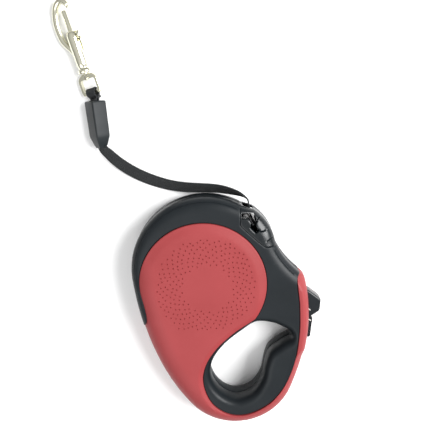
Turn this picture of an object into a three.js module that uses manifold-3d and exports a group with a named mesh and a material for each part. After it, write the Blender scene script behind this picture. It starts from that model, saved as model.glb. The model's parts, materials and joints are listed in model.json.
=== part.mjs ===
// Retractable dog leash lying on its side: two black case halves with red covers, a spring-driven tape
// spool, a nozzle with two rollers, a thumb brake with a lock, and a tape that ends in a swivel bolt snap.
// Millimetres, +Z up along the spool's axis, the origin on that axis in the plane the leash rests on.
// +Y points to the tape's exit, +X to the brake button.

import * as THREE from 'three';
import { mergeVertices } from 'three/addons/utils/BufferGeometryUtils.js';
import Module from 'manifold-3d';

const wasm = await Module();
wasm.setup();

// ---------------------------------------------------------------- driving dimensions

const BODY_LENGTH = 192.7;       // of the case, from the tail to the head
const THICKNESS = 36;            // over both covers
const GAP = 0.3;                 // between pieces that touch
const RUN = 0.5;                 // around pieces that turn or slide

const CASE_WALL = 2.2;
const COVER_WALL = 2.2;
const LIP_FLARE = 3;             // how far the finger hole's edge is rounded over
const HOLE_WALL = 2.6;

const TAPE_WIDTH = 12;
const TAPE_THICKNESS = 1.2;

const TOOTH_DEPTH = 2.7;
const TOOTH_COUNT = 24;
const FLANGE_THICKNESS = 1.5;
const RATCHET_THICKNESS = 2.2;
const FLANGE_PLAY = 0.8;         // between the tape's edge and a flange
const DRUM_RADIUS = 18;
const DRUM_WALL = 1.4;
const HUB_WALL = 1.6;
const AXLE_RADIUS = 4;
const BOSS_RADIUS = 7.5;
const WASHER_THICKNESS = 0.7;
const SPRING_STRIP = 0.6;        // thickness of the power spring

const SCREW_RADIUS = 1.4;
const SCREW_HEAD_HEIGHT = 1.8;
const SCREW_HEAD_RIM = 1.4;      // how far a screw's head reaches beyond its shank
const SCREW_BITE = 5.7;          // how far a screw reaches past the parting plane
const SCREW_BOSS_WALL = 1.9;

const ROLLER_RADIUS = 3.5;
const ROLLER_PIN_RADIUS = 1.2;
const ROLLER_PIN_SEAT = 4;       // how far a roller's pin reaches into the nozzle at each end

const BUTTON_WIDTH = 12.4;       // along Z
const BUTTON_TRAVEL = 4;
const SLIDER_WIDTH = 11;
const SLIDER_TRAVEL = 5;
const SLIDER_LENGTH = 17.5;
const RETAINING_LIP = 2;         // how far a plate inside the case reaches beyond the button's slot
const LEVER_THICKNESS = 2.8;
const LEVER_EYE_WALL = 2.8;
const PIVOT_RADIUS = 1.8;
const PIVOT_BOSS_WALL = 1.6;
const PIVOT_SOCKET = 0.6;        // depth of the pin's seat in the case wall

const SLEEVE_WALL = 1.5;         // beyond the tape's edges
const SLEEVE_DEPTH = 12;
const SLEEVE_CHAMFER = 4;

const CLIP_PLACE = new THREE.Vector2(-89, 160.5);
const CLIP_ANGLE = THREE.MathUtils.degToRad(17.5);
const CLIP_FLANGE_RADIUS = 5.6;
const BARREL_WALL = 2.3;
const BARREL_LENGTH = 32;
const BOLT_RADIUS = 2;
const BOLT_WALL = 0.6;
const BOLT_TRAVEL = 8;
const BOLT_LOW = 14;
const BOLT_HIGH = 47.6;
const KNOB_LOW = 25;
const KNOB_HIGH = 31.6;
const BOW_RADIUS = 2.1;
const BOW_REACH = 10.2;          // from the clip's axis to the middle of the bow's side
const STUD_RADIUS = 1.7;
const STUD_HEAD_RADIUS = 2.3;
const STUD_TOP = 5;
const EYE_BAR = 3;
const EYE_LENGTH = 16.5;
const EYE_SIDE = 2.2;

// ---------------------------------------------------------------- sizes that follow from them

const MID = THICKNESS / 2;                    // parting plane of the case
const COVER_STEP = COVER_WALL + GAP;          // how far the case lies under a cover
const CASE_TOP = MID - COVER_STEP;            // half height of the black case
const CAVITY_INSET = COVER_STEP + CASE_WALL;
const CAVITY_TOP = CASE_TOP - CASE_WALL;      // half height of the hollow inside

const TAPE_LOW = MID - TAPE_WIDTH / 2;
const TAPE_HIGH = MID + TAPE_WIDTH / 2;
const CHANNEL_LOW = TAPE_LOW - FLANGE_PLAY;
const CHANNEL_HIGH = TAPE_HIGH + FLANGE_PLAY;

const RATCHET_LOW = CHANNEL_HIGH;
const RATCHET_HIGH = RATCHET_LOW + RATCHET_THICKNESS;
const FLANGE_HIGH = CHANNEL_LOW;
const FLANGE_LOW = FLANGE_HIGH - FLANGE_THICKNESS;
const LEVER_HIGH = RATCHET_LOW + LEVER_THICKNESS;

// Heights above the parting plane, or below it for the lower half.
const UPPER_BOSS = RATCHET_HIGH + WASHER_THICKNESS + 2 * GAP - MID;
const LOWER_BOSS = MID - (FLANGE_LOW - WASHER_THICKNESS - 2 * GAP);
const UPPER_PIVOT_BOSS = LEVER_HIGH + 2 * GAP - MID;
const LOWER_PIVOT_BOSS = TAPE_WIDTH / 2 - 1;
const AXLE_SOCKET = CAVITY_TOP - 0.7;
const BOSS_ROOT = CAVITY_TOP + 0.5;           // bosses run into the case wall up to here

const SCREW_HEAD_RADIUS = SCREW_RADIUS + SCREW_HEAD_RIM;
const SCREW_BOSS_RADIUS = SCREW_RADIUS + GAP + SCREW_BOSS_WALL;
const SCREW_HEAD_SEAT = MID - CAVITY_TOP + 1;
const AXLE_SCREW_SEAT = MID - CASE_TOP + SCREW_HEAD_HEIGHT + 0.2;

const SLEEVE_WIDTH = TAPE_WIDTH + 2 * SLEEVE_WALL;

const CLIP_AXIS_HEIGHT = CLIP_FLANGE_RADIUS + 0.1;
const BORE_RADIUS = BOLT_RADIUS + RUN;
const BARREL_RADIUS = BORE_RADIUS + BARREL_WALL;
const EYE_INSIDE = TAPE_WIDTH / 2 + GAP;      // half the width of the eye's opening
const EYE_HALF = EYE_INSIDE + EYE_SIDE;

// ---------------------------------------------------------------- colours

const black = new THREE.MeshStandardMaterial({ color: 0x25282b, roughness: 0.62, metalness: 0 });
const glossBlack = new THREE.MeshStandardMaterial({ color: 0x16181a, roughness: 0.25, metalness: 0 });
const red = new THREE.MeshStandardMaterial({ color: 0xb23a3d, roughness: 0.55, metalness: 0 });
const webbing = new THREE.MeshStandardMaterial({ color: 0x1d2023, roughness: 0.9, metalness: 0 });
const rubber = new THREE.MeshStandardMaterial({ color: 0x202326, roughness: 0.7, metalness: 0 });
const chrome = new THREE.MeshStandardMaterial({ color: 0xd9d8d2, roughness: 0.15, metalness: 1 });
const steel = new THREE.MeshStandardMaterial({ color: 0x9da1a5, roughness: 0.35, metalness: 1 });
const acetal = new THREE.MeshStandardMaterial({ color: 0xd8d6cf, roughness: 0.45, metalness: 0 });

// ---------------------------------------------------------------- solids

function signedVolume(geometry) {
  const position = geometry.attributes.position;
  const index = geometry.index;
  const a = new THREE.Vector3();
  const b = new THREE.Vector3();
  const c = new THREE.Vector3();
  let volume = 0;
  for (let i = 0; i < index.count; i += 3) {
    a.fromBufferAttribute(position, index.getX(i));
    b.fromBufferAttribute(position, index.getX(i + 1));
    c.fromBufferAttribute(position, index.getX(i + 2));
    volume += a.dot(b.cross(c)) / 6;
  }
  return volume;
}

// A closed geometry as a manifold solid, with its faces turned outwards.
function solid(geometry) {
  const bare = geometry.clone();
  bare.deleteAttribute('normal');
  bare.deleteAttribute('uv');
  const merged = mergeVertices(bare, 1e-4);
  const index = merged.index.array;
  const inverted = signedVolume(merged) < 0;
  const triangles = [];
  for (let i = 0; i < index.length; i += 3) {
    const [a, b, c] = [index[i], index[i + 1], index[i + 2]];
    if (a === b || b === c || c === a) continue;
    triangles.push(a, inverted ? c : b, inverted ? b : c);
  }
  const mesh = new wasm.Mesh({
    numProp: 3,
    vertProperties: new Float32Array(merged.attributes.position.array),
    triVerts: new Uint32Array(triangles),
  });
  return new wasm.Manifold(mesh);
}

function geometryOf(manifold) {
  const mesh = manifold.getMesh();
  const geometry = new THREE.BufferGeometry();
  const positions = new Float32Array((mesh.vertProperties.length / mesh.numProp) * 3);
  for (let i = 0, j = 0; i < mesh.vertProperties.length; i += mesh.numProp, j += 3) {
    positions[j] = mesh.vertProperties[i];
    positions[j + 1] = mesh.vertProperties[i + 1];
    positions[j + 2] = mesh.vertProperties[i + 2];
  }
  geometry.setAttribute('position', new THREE.BufferAttribute(positions, 3));
  geometry.setIndex(new THREE.BufferAttribute(new Uint32Array(mesh.triVerts), 1));
  return geometry;
}

function box(x0, x1, y0, y1, z0, z1) {
  const geometry = new THREE.BoxGeometry(x1 - x0, y1 - y0, z1 - z0);
  geometry.translate((x0 + x1) / 2, (y0 + y1) / 2, (z0 + z1) / 2);
  return solid(geometry);
}

function upright(radius, z0, z1, x = 0, y = 0, sides = 24) {
  const geometry = new THREE.CylinderGeometry(radius, radius, z1 - z0, sides);
  geometry.rotateX(Math.PI / 2);
  geometry.translate(x, y, (z0 + z1) / 2);
  return solid(geometry);
}

function prism(points, z0, z1) {
  const shape = new THREE.Shape(points);
  const geometry = new THREE.ExtrudeGeometry(shape, { depth: z1 - z0, bevelEnabled: false });
  geometry.translate(0, 0, z0);
  return solid(geometry);
}

function points2(...pairs) {
  return pairs.map(([x, y]) => new THREE.Vector2(x, y));
}

// A solid of revolution about Z from a closed outline of [radius, z] pairs.
function turned(pairs, segments) {
  const outline = points2(...pairs, pairs[0]);
  const geometry = new THREE.LatheGeometry(outline, segments);
  geometry.rotateX(Math.PI / 2);
  return solid(geometry);
}

// Equally spaced points on a smooth curve through the given plan points.
function smoothCurve(places, count, closed) {
  const knots = places.map((p) => new THREE.Vector3(p.x, p.y, 0));
  const curve = new THREE.CatmullRomCurve3(knots, closed, 'centripetal');
  const spaced = curve.getSpacedPoints(count).map((p) => new THREE.Vector2(p.x, p.y));
  return closed ? spaced.slice(0, count) : spaced;
}

function distanceToLoop(point, loop) {
  let nearest = Infinity;
  for (let i = 0; i < loop.length; i++) {
    const a = loop[i];
    const edge = loop[(i + 1) % loop.length].clone().sub(a);
    const along = THREE.MathUtils.clamp(point.clone().sub(a).dot(edge) / edge.lengthSq(), 0, 1);
    nearest = Math.min(nearest, point.distanceTo(a.clone().addScaledVector(edge, along)));
  }
  return nearest;
}

// The loop moved inwards by a distance, or outwards by a negative one. Points that a tight corner would
// fold over slide to their nearest sound neighbour, so every ring keeps the same number of points.
function insetLoop(loop, distance) {
  if (distance === 0) return loop.map((p) => p.clone());
  const count = loop.length;
  const moved = loop.map((point, i) => {
    const before = point.clone().sub(loop[(i + count - 1) % count]).normalize();
    const after = loop[(i + 1) % count].clone().sub(point).normalize();
    const normal = new THREE.Vector2(-before.y - after.y, before.x + after.x).normalize();
    const mitre = Math.max(normal.dot(new THREE.Vector2(-after.y, after.x)), 0.5);
    return point.clone().addScaledVector(normal, distance / mitre);
  });
  const sound = moved.map((p) => distanceToLoop(p, loop) > Math.abs(distance) * 0.97 - 0.01);
  return moved.map((point, i) => {
    for (let step = 0; step < count / 2; step++) {
      if (sound[(i + step) % count]) return moved[(i + step) % count].clone();
      if (sound[(i + count - step) % count]) return moved[(i + count - step) % count].clone();
    }
    return point;
  });
}

// A closed skin over rings with equally many points, with flat ends.
function skin(rings) {
  const size = rings[0].length;
  const positions = rings.flat().flatMap((p) => [p.x, p.y, p.z]);
  const index = [];
  for (let k = 0; k + 1 < rings.length; k++) {
    for (let i = 0; i < size; i++) {
      const a = k * size + i;
      const b = k * size + ((i + 1) % size);
      index.push(a, b, b + size, a, b + size, a + size);
    }
  }
  const addCap = (ring, first, flip) => {
    const kept = [];
    ring.forEach((p, i) => {
      const last = kept.length ? ring[kept[kept.length - 1]] : ring[size - 1];
      if (p.distanceTo(last) > 1e-4) kept.push(i);
    });
    const origin = ring[kept[0]];
    const spread = new THREE.Vector3();
    kept.forEach((i, n) => {
      const next = ring[kept[(n + 1) % kept.length]];
      spread.add(ring[i].clone().sub(origin).cross(next.clone().sub(origin)));
    });
    const normal = spread.normalize();
    const across = ring[kept[1]].clone().sub(origin).normalize();
    const upward = normal.clone().cross(across);
    const flat = kept.map((i) => {
      const p = ring[i].clone().sub(origin);
      return new THREE.Vector2(p.dot(across), p.dot(upward));
    });
    for (const [a, b, c] of THREE.ShapeUtils.triangulateShape(flat, [])) {
      const [i, j, k] = [first + kept[a], first + kept[b], first + kept[c]];
      index.push(i, flip ? k : j, flip ? j : k);
    }
  };
  addCap(rings[0], 0, true);
  addCap(rings[rings.length - 1], (rings.length - 1) * size, false);
  const geometry = new THREE.BufferGeometry();
  geometry.setAttribute('position', new THREE.Float32BufferAttribute(positions, 3));
  geometry.setIndex(index);
  return geometry;
}

// A solid that rises from the parting plane to one side (1 up, -1 down). Each profile entry is the
// inset from the outline and the height above the parting plane.
function roundedHalf(outline, profile, side, start = 0) {
  const rings = profile.map(([inset, height], i) => {
    const z = MID + side * (i === 0 ? start : height);
    return insetLoop(outline, inset).map((p) => new THREE.Vector3(p.x, p.y, z));
  });
  return solid(skin(rings));
}

// A flat band swept along points, with its width along a given direction at each point.
function ribbon(centres, widthDirections, width, thickness) {
  const rings = centres.map((centre, i) => {
    const before = centres[Math.max(i - 1, 0)];
    const after = centres[Math.min(i + 1, centres.length - 1)];
    const tangent = after.clone().sub(before).normalize();
    const sideways = widthDirections[i];
    const across = sideways.clone().addScaledVector(tangent, -sideways.dot(tangent)).normalize();
    const face = tangent.clone().cross(across);
    const corners = [[-1, -1], [1, -1], [1, 1], [-1, 1]];
    return corners.map(([w, t]) => centre.clone()
      .addScaledVector(across, (w * width) / 2)
      .addScaledVector(face, (t * thickness) / 2));
  });
  return skin(rings);
}

function tubeAlong(curve, radius, steps, sides) {
  const section = new THREE.Shape();
  section.absarc(0, 0, radius, 0, 2 * Math.PI, false);
  const outline = new THREE.Shape(section.getSpacedPoints(sides).slice(0, sides));
  return new THREE.ExtrudeGeometry(outline, { extrudePath: curve, steps, bevelEnabled: false });
}

function add(parent, name, shape, material) {
  const geometry = shape instanceof THREE.BufferGeometry ? geometryOf(solid(shape)) : geometryOf(shape);
  const mesh = new THREE.Mesh(geometry, material);
  mesh.name = name;
  parent.add(mesh);
}
// ---------------------------------------------------------------- outlines, seen along the spool's axis

// The outlines are drawn for a case of this length and scaled to BODY_LENGTH.
const DRAWN_LENGTH = 192.7;

function drawn(value) {
  return (value * BODY_LENGTH) / DRAWN_LENGTH;
}

function at(x, y) {
  return new THREE.Vector2(drawn(x), drawn(y));
}

function places(...pairs) {
  return pairs.map(([x, y]) => at(x, y));
}

function onCircle(centre, radius, degrees) {
  const angle = THREE.MathUtils.degToRad(degrees);
  return new THREE.Vector2(centre.x + radius * Math.cos(angle), centre.y + radius * Math.sin(angle));
}

const AXIS = new THREE.Vector2();
const HEAD_CENTRE = at(2.3, 10);
const HEAD_RADIUS = drawn(58.7);
const HEAD_START = 63;           // degrees, where the nozzle's cheek runs into the head
const HEAD_END = 188;            // degrees, where the head runs into the left flank
const TAIL_CENTRE = at(26.3, -75);
const TAIL_RADIUS = drawn(49);
const TAIL_START = 222;
const TAIL_END = 340;
const COVER_RADIUS = drawn(49.7);             // round front of each red cover
const SPOOL_RADIUS = drawn(46.5);             // ratchet teeth
const PACK_RADIUS = SPOOL_RADIUS - 3;         // outside of the wound tape

// Outside of the whole case: round head, left flank, round tail, spine, neck and nozzle cheek.
function caseOutline() {
  const path = new THREE.Path();
  const rad = THREE.MathUtils.degToRad;
  const bend = (...pairs) => path.bezierCurveTo(...places(...pairs).flatMap((p) => [p.x, p.y]));
  const flankStart = onCircle(HEAD_CENTRE, HEAD_RADIUS, HEAD_END);
  const flankEnd = onCircle(TAIL_CENTRE, TAIL_RADIUS, TAIL_START);
  const spineStart = onCircle(TAIL_CENTRE, TAIL_RADIUS, TAIL_END);
  const reach = flankStart.distanceTo(flankEnd) / 3;
  const leaving = flankStart.clone().add(onCircle(AXIS, reach, HEAD_END + 90));
  const arriving = flankEnd.clone().sub(onCircle(AXIS, reach, TAIL_START + 90));
  const spineReach = at(12, 33).add(spineStart);
  const shoulder = at(80.7, 2.6);
  const spineEnd = at(87.7, -31.7);
  path.absarc(HEAD_CENTRE.x, HEAD_CENTRE.y, HEAD_RADIUS, rad(HEAD_START), rad(HEAD_END), false);
  path.bezierCurveTo(leaving.x, leaving.y, arriving.x, arriving.y, flankEnd.x, flankEnd.y);
  path.absarc(TAIL_CENTRE.x, TAIL_CENTRE.y, TAIL_RADIUS, rad(TAIL_START), rad(TAIL_END), false);
  path.bezierCurveTo(spineReach.x, spineReach.y, spineEnd.x, spineEnd.y, shoulder.x, shoulder.y);
  bend([80.2, 4.6], [78.9, 6.1], [76.9, 7.4]);
  bend([68.3, 14], [59.3, 24], [55.8, 35]);
  bend([54.3, 43], [49.3, 52], [39.3, 59]);
  const count = 64;
  return path.getSpacedPoints(count).slice(0, count);
}

const CASE_OUTLINE = caseOutline();

const HOLE_OUTLINE = smoothCurve(places(
  [54.8, -33.5], [42.3, -32.8], [30.3, -40.8], [15.8, -53.8], [7.1, -68], [6.5, -82], [14.3, -95],
  [26.3, -100.8], [39.3, -96.3], [47.5, -84], [50.5, -69], [53.8, -60], [63.3, -52.2], [70.9, -46.8],
  [69.8, -41.2], [62.8, -36.6],
), 34, true);

// Where the red cover ends along the black grip and the neck, from the round front to the neck.
const GRIP_EDGE = smoothCurve(places(
  [24.3, -40.2], [9.8, -54.8], [1.3, -70], [-0.1, -85], [7.3, -103], [20.6, -112.2], [34.5, -112.9],
  [52.1, -104.2], [64.7, -89.7], [73.3, -68], [76.7, -40], [76.2, -18], [74.4, 6.1],
), 28, false);

const COVER_START = -38;         // degrees on the round front, where the grip's edge begins
const COVER_END = 188;           // degrees, where the edge leaves the round front for the left flank
const COVER_FLANK = drawn(27);   // how far it then runs straight on before it turns over the side

function coverRegion() {
  const front = [];
  const steps = 26;
  for (let i = 0; i <= steps; i++) {
    const turn = COVER_START + ((COVER_END - COVER_START) * i) / steps;
    front.push(onCircle(AXIS, COVER_RADIUS, turn));
  }
  const flank = onCircle(AXIS, COVER_FLANK, COVER_END + 90).add(front[front.length - 1]);
  const outside = places([-75, -52], [-75, -150], [110, -150], [110, 12], [78.5, 9.5]);
  return [...front, flank, ...outside, ...GRIP_EDGE.slice().reverse()];
}

// The nozzle insert takes this corner out of both case halves.
const NOZZLE_REGION = places(
  [28.6, 74], [28.6, 47.2], [42.2, 35], [48.6, 30.4], [57, 31], [80, 34], [80, 74]);

// The tape's way from the wound pack between the two rollers to the mouth.
const TAPE_BY_FRONT_ROLLER = at(40.3, 46.4);
const TAPE_BY_REAR_ROLLER = at(37.6, 51);
const TAPE_LEAVING = PACK_RADIUS + GAP + TAPE_THICKNESS / 2;      // beside the wound pack
const TAPE_INSIDE = [
  new THREE.Vector2(TAPE_LEAVING, drawn(1)), new THREE.Vector2(TAPE_LEAVING, drawn(20)),
  ...places([44.2, 34], [43.2, 41.4]),
  TAPE_BY_FRONT_ROLLER, TAPE_BY_REAR_ROLLER,
  ...places([36.2, 56], [35.6, 62.4]),
];

const ROLLER_REACH = ROLLER_RADIUS + TAPE_THICKNESS / 2 + 1.2;   // from a roller's axis to the tape's middle
const FRONT_ROLLER = onCircle(TAPE_BY_FRONT_ROLLER, ROLLER_REACH, 22.2);
const REAR_ROLLER = onCircle(TAPE_BY_REAR_ROLLER, ROLLER_REACH, 202.8);

const SCREW_PLACES = places([-14, 54], [-40, 33], [56, -20], [-27, -51], [0, -96], [63, -76]);

const PIVOT = at(58, 9);
const BUTTON_BASE = drawn(80.7) - CAVITY_INSET;   // where the button meets its plate inside the case
const SLIDER_BASE = drawn(82.3) - CAVITY_INSET;   // where the slider meets its plate
const LEVER_FACE = BUTTON_BASE - 4.6;             // where the button pushes the lever
const BUTTON_FRONT = drawn(-7.4);
const SLIDER_FRONT = drawn(-31);
const SLIDER_BACK = SLIDER_FRONT - SLIDER_LENGTH;
const SLOT_HIGH = BUTTON_FRONT + RUN;
const SLOT_LOW = SLIDER_BACK - SLIDER_TRAVEL - GAP;

// ---------------------------------------------------------------- case profiles: [inset, height]

const CASE_PROFILE = [
  [0, 0], [0, CASE_TOP - 7.5], [1.5, CASE_TOP - 4.1], [5, CASE_TOP - 1.5], [11, CASE_TOP]];
const COVER_PROFILE = [[0, 0], [0, MID - 9], [1.3, MID - 5.2], [4.8, MID - 1.7], [11, MID]];
const CAVITY_PROFILE = [
  [CAVITY_INSET, 0], [CAVITY_INSET, CAVITY_TOP - 5.3], [CAVITY_INSET + 5, CAVITY_TOP]];
const HOLE_PROFILE = [
  [0, 0], [0, CASE_TOP - 5.5], [-LIP_FLARE / 3, CASE_TOP - 2], [-LIP_FLARE, CASE_TOP], [-LIP_FLARE, MID + 1]];
const HOLE_WALL_PROFILE = [
  [-HOLE_WALL, 0], [-HOLE_WALL, CAVITY_TOP - 3.8], [-HOLE_WALL - LIP_FLARE - 0.4, CASE_TOP]];
const COVER_EDGE_PROFILE = [[0, 0], [0, CASE_TOP + 0.4], [1.4, MID - 0.4], [2.6, MID + 0.2]];

// The cover's own profile moved inwards by a distance, down to the parting plane.
function sunken(distance) {
  return COVER_PROFILE.map(([inset, height]) => [inset + distance, Math.max(height - distance, 0)]);
}

// ---------------------------------------------------------------- case and covers

function buttonSlot() {
  const half = BUTTON_WIDTH / 2 + GAP;
  return box(drawn(64), drawn(110), SLOT_LOW, SLOT_HIGH, MID - half, MID + half);
}

// One black half. side is 1 for the upper half and -1 for the lower one; post heights are measured from
// the parting plane towards that side.
function caseHalf(side) {
  const upper = side > 0;
  const start = GAP / 2;
  const post = (radius, low, high, place, sides) => {
    const [a, b] = [MID + side * low, MID + side * high];
    return upright(radius, Math.min(a, b), Math.max(a, b), place.x, place.y, sides);
  };

  const lidless = roundedHalf(CASE_OUTLINE, CASE_PROFILE, side, start);
  const coverSpace = prism(insetLoop(coverRegion(), -GAP), -1, THICKNESS + 1);
  const seat = roundedHalf(CASE_OUTLINE, sunken(COVER_STEP), side, start);
  const holeWall = roundedHalf(HOLE_OUTLINE, HOLE_WALL_PROFILE, side, -1);
  const cavity = roundedHalf(CASE_OUTLINE, CAVITY_PROFILE, side, -1).subtract(holeWall);
  let half = lidless.subtract(coverSpace).add(seat).subtract(cavity);

  for (const place of SCREW_PLACES) half = half.add(post(SCREW_BOSS_RADIUS, start, BOSS_ROOT, place, 20));
  const pivotBoss = upper ? UPPER_PIVOT_BOSS : LOWER_PIVOT_BOSS;
  half = half.add(post(BOSS_RADIUS, upper ? UPPER_BOSS : LOWER_BOSS, BOSS_ROOT, AXIS, 24));
  half = half.add(post(PIVOT_RADIUS + PIVOT_BOSS_WALL, pivotBoss, BOSS_ROOT, PIVOT, 20));

  half = half.subtract(roundedHalf(HOLE_OUTLINE, HOLE_PROFILE, side, -1));
  half = half.subtract(prism(insetLoop(NOZZLE_REGION, -GAP), -1, THICKNESS + 1));
  half = half.subtract(buttonSlot());
  half = half.subtract(post(AXLE_RADIUS + GAP, 0, AXLE_SOCKET, AXIS, 24));
  half = half.subtract(post(PIVOT_RADIUS + GAP, 0, CAVITY_TOP + PIVOT_SOCKET, PIVOT, 16));
  const screwEnd = upper ? SCREW_BITE + GAP : MID;
  for (const place of SCREW_PLACES) {
    half = half.subtract(post(SCREW_RADIUS + GAP, -1, screwEnd, place, 12));
  }
  return upper ? half : half.subtract(screwHeadSeats());
}

// Counterbores in the lower half for the case screws and the axle's screw.
function screwHeadSeats() {
  let seats = upright(SCREW_RADIUS + GAP, -1, MID, 0, 0, 12);
  seats = seats.add(upright(SCREW_HEAD_RADIUS + GAP, -1, AXLE_SCREW_SEAT, 0, 0, 16));
  for (const { x, y } of SCREW_PLACES) {
    seats = seats.add(upright(SCREW_HEAD_RADIUS + GAP, -1, SCREW_HEAD_SEAT, x, y, 16));
  }
  return seats;
}

// One red cover: the head's round front, the tail and the spine as one skin with bevelled edges.
function cover(side) {
  const outer = roundedHalf(CASE_OUTLINE, COVER_PROFILE, side, GAP / 2);
  const inner = roundedHalf(CASE_OUTLINE, sunken(COVER_WALL), side, -1);
  return outer.subtract(inner)
    .intersect(roundedHalf(coverRegion(), COVER_EDGE_PROFILE, side, -1))
    .subtract(roundedHalf(insetLoop(HOLE_OUTLINE, -GAP), HOLE_PROFILE, side, -1))
    .subtract(buttonSlot());
}

function caseScrew(x, y) {
  const top = SCREW_HEAD_SEAT - GAP;
  const head = upright(SCREW_HEAD_RADIUS, top - SCREW_HEAD_HEIGHT, top, x, y, 12);
  return head.add(upright(SCREW_RADIUS, top - 0.1, MID + SCREW_BITE, x, y, 8));
}

// ---------------------------------------------------------------- nozzle

function tapeChannel() {
  const route = TAPE_INSIDE.map((p) => new THREE.Vector3(p.x, p.y, MID));
  const up = route.map(() => new THREE.Vector3(0, 0, 1));
  return solid(ribbon(route, up, CHANNEL_HIGH - CHANNEL_LOW, TAPE_THICKNESS + 3));
}

function nozzleInsert() {
  const upperHalf = roundedHalf(CASE_OUTLINE, CASE_PROFILE, 1, -0.1);
  const lowerHalf = roundedHalf(CASE_OUTLINE, CASE_PROFILE, -1, -0.1);
  const region = prism(NOZZLE_REGION, -1, THICKNESS + 1);
  let insert = upperHalf.add(lowerHalf).intersect(region).subtract(tapeChannel());
  const [pinLow, pinHigh] = [CHANNEL_LOW - ROLLER_PIN_SEAT, CHANNEL_HIGH + ROLLER_PIN_SEAT];
  for (const { x, y } of [FRONT_ROLLER, REAR_ROLLER]) {
    insert = insert.subtract(upright(ROLLER_RADIUS + RUN, CHANNEL_LOW, CHANNEL_HIGH, x, y, 20));
    insert = insert.subtract(upright(ROLLER_PIN_RADIUS + GAP, pinLow, pinHigh, x, y, 12));
  }
  const mouth = places([31, 70], [31, 53], [35, 49.5], [38, 45], [42.2, 45.5], [41.5, 49], [40, 53],
    [38.6, 56], [38.2, 70]);
  const openSide = places([31, 56.5], [31.3, 52.6], [36.6, 45.4], [40.6, 41.6], [42.6, 43.4], [41, 50],
    [38, 56.5]);
  return insert.subtract(prism(mouth, CHANNEL_LOW, CHANNEL_HIGH))
    .subtract(prism(openSide, -1, THICKNESS + 1));
}

function roller({ x, y }) {
  const tube = upright(ROLLER_RADIUS, CHANNEL_LOW + GAP, CHANNEL_HIGH - GAP, x, y, 20);
  return tube.subtract(upright(ROLLER_PIN_RADIUS + GAP, 0, THICKNESS, x, y, 12));
}

function rollerPin({ x, y }) {
  const reach = ROLLER_PIN_SEAT - GAP;
  return upright(ROLLER_PIN_RADIUS, CHANNEL_LOW - reach, CHANNEL_HIGH + reach, x, y, 12);
}

// ---------------------------------------------------------------- spool

function ratchetOutline() {
  const outline = [];
  const pitch = 360 / TOOTH_COUNT;
  const engaged = -5.1;          // degrees, where the lever's nose comes down between two teeth
  const tooth = [[-3.4, TOOTH_DEPTH], [-2.4, 0], [2.4, 0], [3.4, TOOTH_DEPTH]];
  for (let i = 0; i < TOOTH_COUNT; i++) {
    const middle = engaged + pitch * (i + 0.5);
    for (const [turn, depth] of tooth) outline.push(onCircle(AXIS, SPOOL_RADIUS - depth, middle + turn));
  }
  return outline;
}

function spool() {
  const rim = SPOOL_RADIUS - 0.5;
  const bore = DRUM_RADIUS - DRUM_WALL;
  const top = RATCHET_LOW + 0.2;
  const drum = turned([
    [bore, FLANGE_LOW], [rim, FLANGE_LOW], [rim, FLANGE_HIGH], [DRUM_RADIUS, FLANGE_HIGH],
    [DRUM_RADIUS, top], [bore, top],
  ], 40);
  const ratchet = prism(ratchetOutline(), RATCHET_LOW, RATCHET_HIGH);
  const hub = upright(AXLE_RADIUS + RUN + HUB_WALL, RATCHET_LOW - 2.5, RATCHET_HIGH);
  return drum.add(ratchet).add(hub).subtract(upright(AXLE_RADIUS + RUN, 0, THICKNESS));
}

function springCover() {
  const low = FLANGE_LOW + 0.2;
  const disc = upright(DRUM_RADIUS - DRUM_WALL - GAP, low, low + 1.4, 0, 0, 32);
  return disc.subtract(upright(AXLE_RADIUS + RUN, 0, THICKNESS));
}

function powerSpring() {
  const inner = AXLE_RADIUS + RUN + 0.8;
  const outer = DRUM_RADIUS - DRUM_WALL - 0.8;
  const low = FLANGE_HIGH + 0.7;
  const high = RATCHET_LOW - 2.8;
  const turns = 5;
  const perTurn = 16;
  const centres = [];
  for (let i = 0; i <= turns * perTurn; i++) {
    const angle = (2 * Math.PI * i) / perTurn;
    const radius = inner + ((outer - inner) * i) / (turns * perTurn);
    centres.push(new THREE.Vector3(radius * Math.cos(angle), radius * Math.sin(angle), (low + high) / 2));
  }
  return ribbon(centres, centres.map(() => new THREE.Vector3(0, 0, 1)), high - low, SPRING_STRIP);
}

function washer(low) {
  const disc = upright(BOSS_RADIUS - 0.5, low, low + WASHER_THICKNESS);
  return disc.subtract(upright(AXLE_RADIUS + GAP, 0, THICKNESS));
}

function spoolAxle() {
  const half = AXLE_SOCKET - GAP;
  const post = upright(AXLE_RADIUS, MID - half, MID + half);
  return post.subtract(upright(SCREW_RADIUS + GAP, 0, MID, 0, 0, 12));
}

function axleScrew() {
  const top = AXLE_SCREW_SEAT - GAP;
  const head = upright(SCREW_HEAD_RADIUS, top - SCREW_HEAD_HEIGHT + 0.1, top, 0, 0, 12);
  return head.add(upright(SCREW_RADIUS, top - 0.1, MID - 2, 0, 0, 8));
}

function woundTape() {
  const inside = DRUM_RADIUS + GAP;
  return turned([
    [inside, TAPE_LOW], [PACK_RADIUS, TAPE_LOW], [PACK_RADIUS, TAPE_HIGH], [inside, TAPE_HIGH],
  ], 40);
}

// ---------------------------------------------------------------- brake

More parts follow.
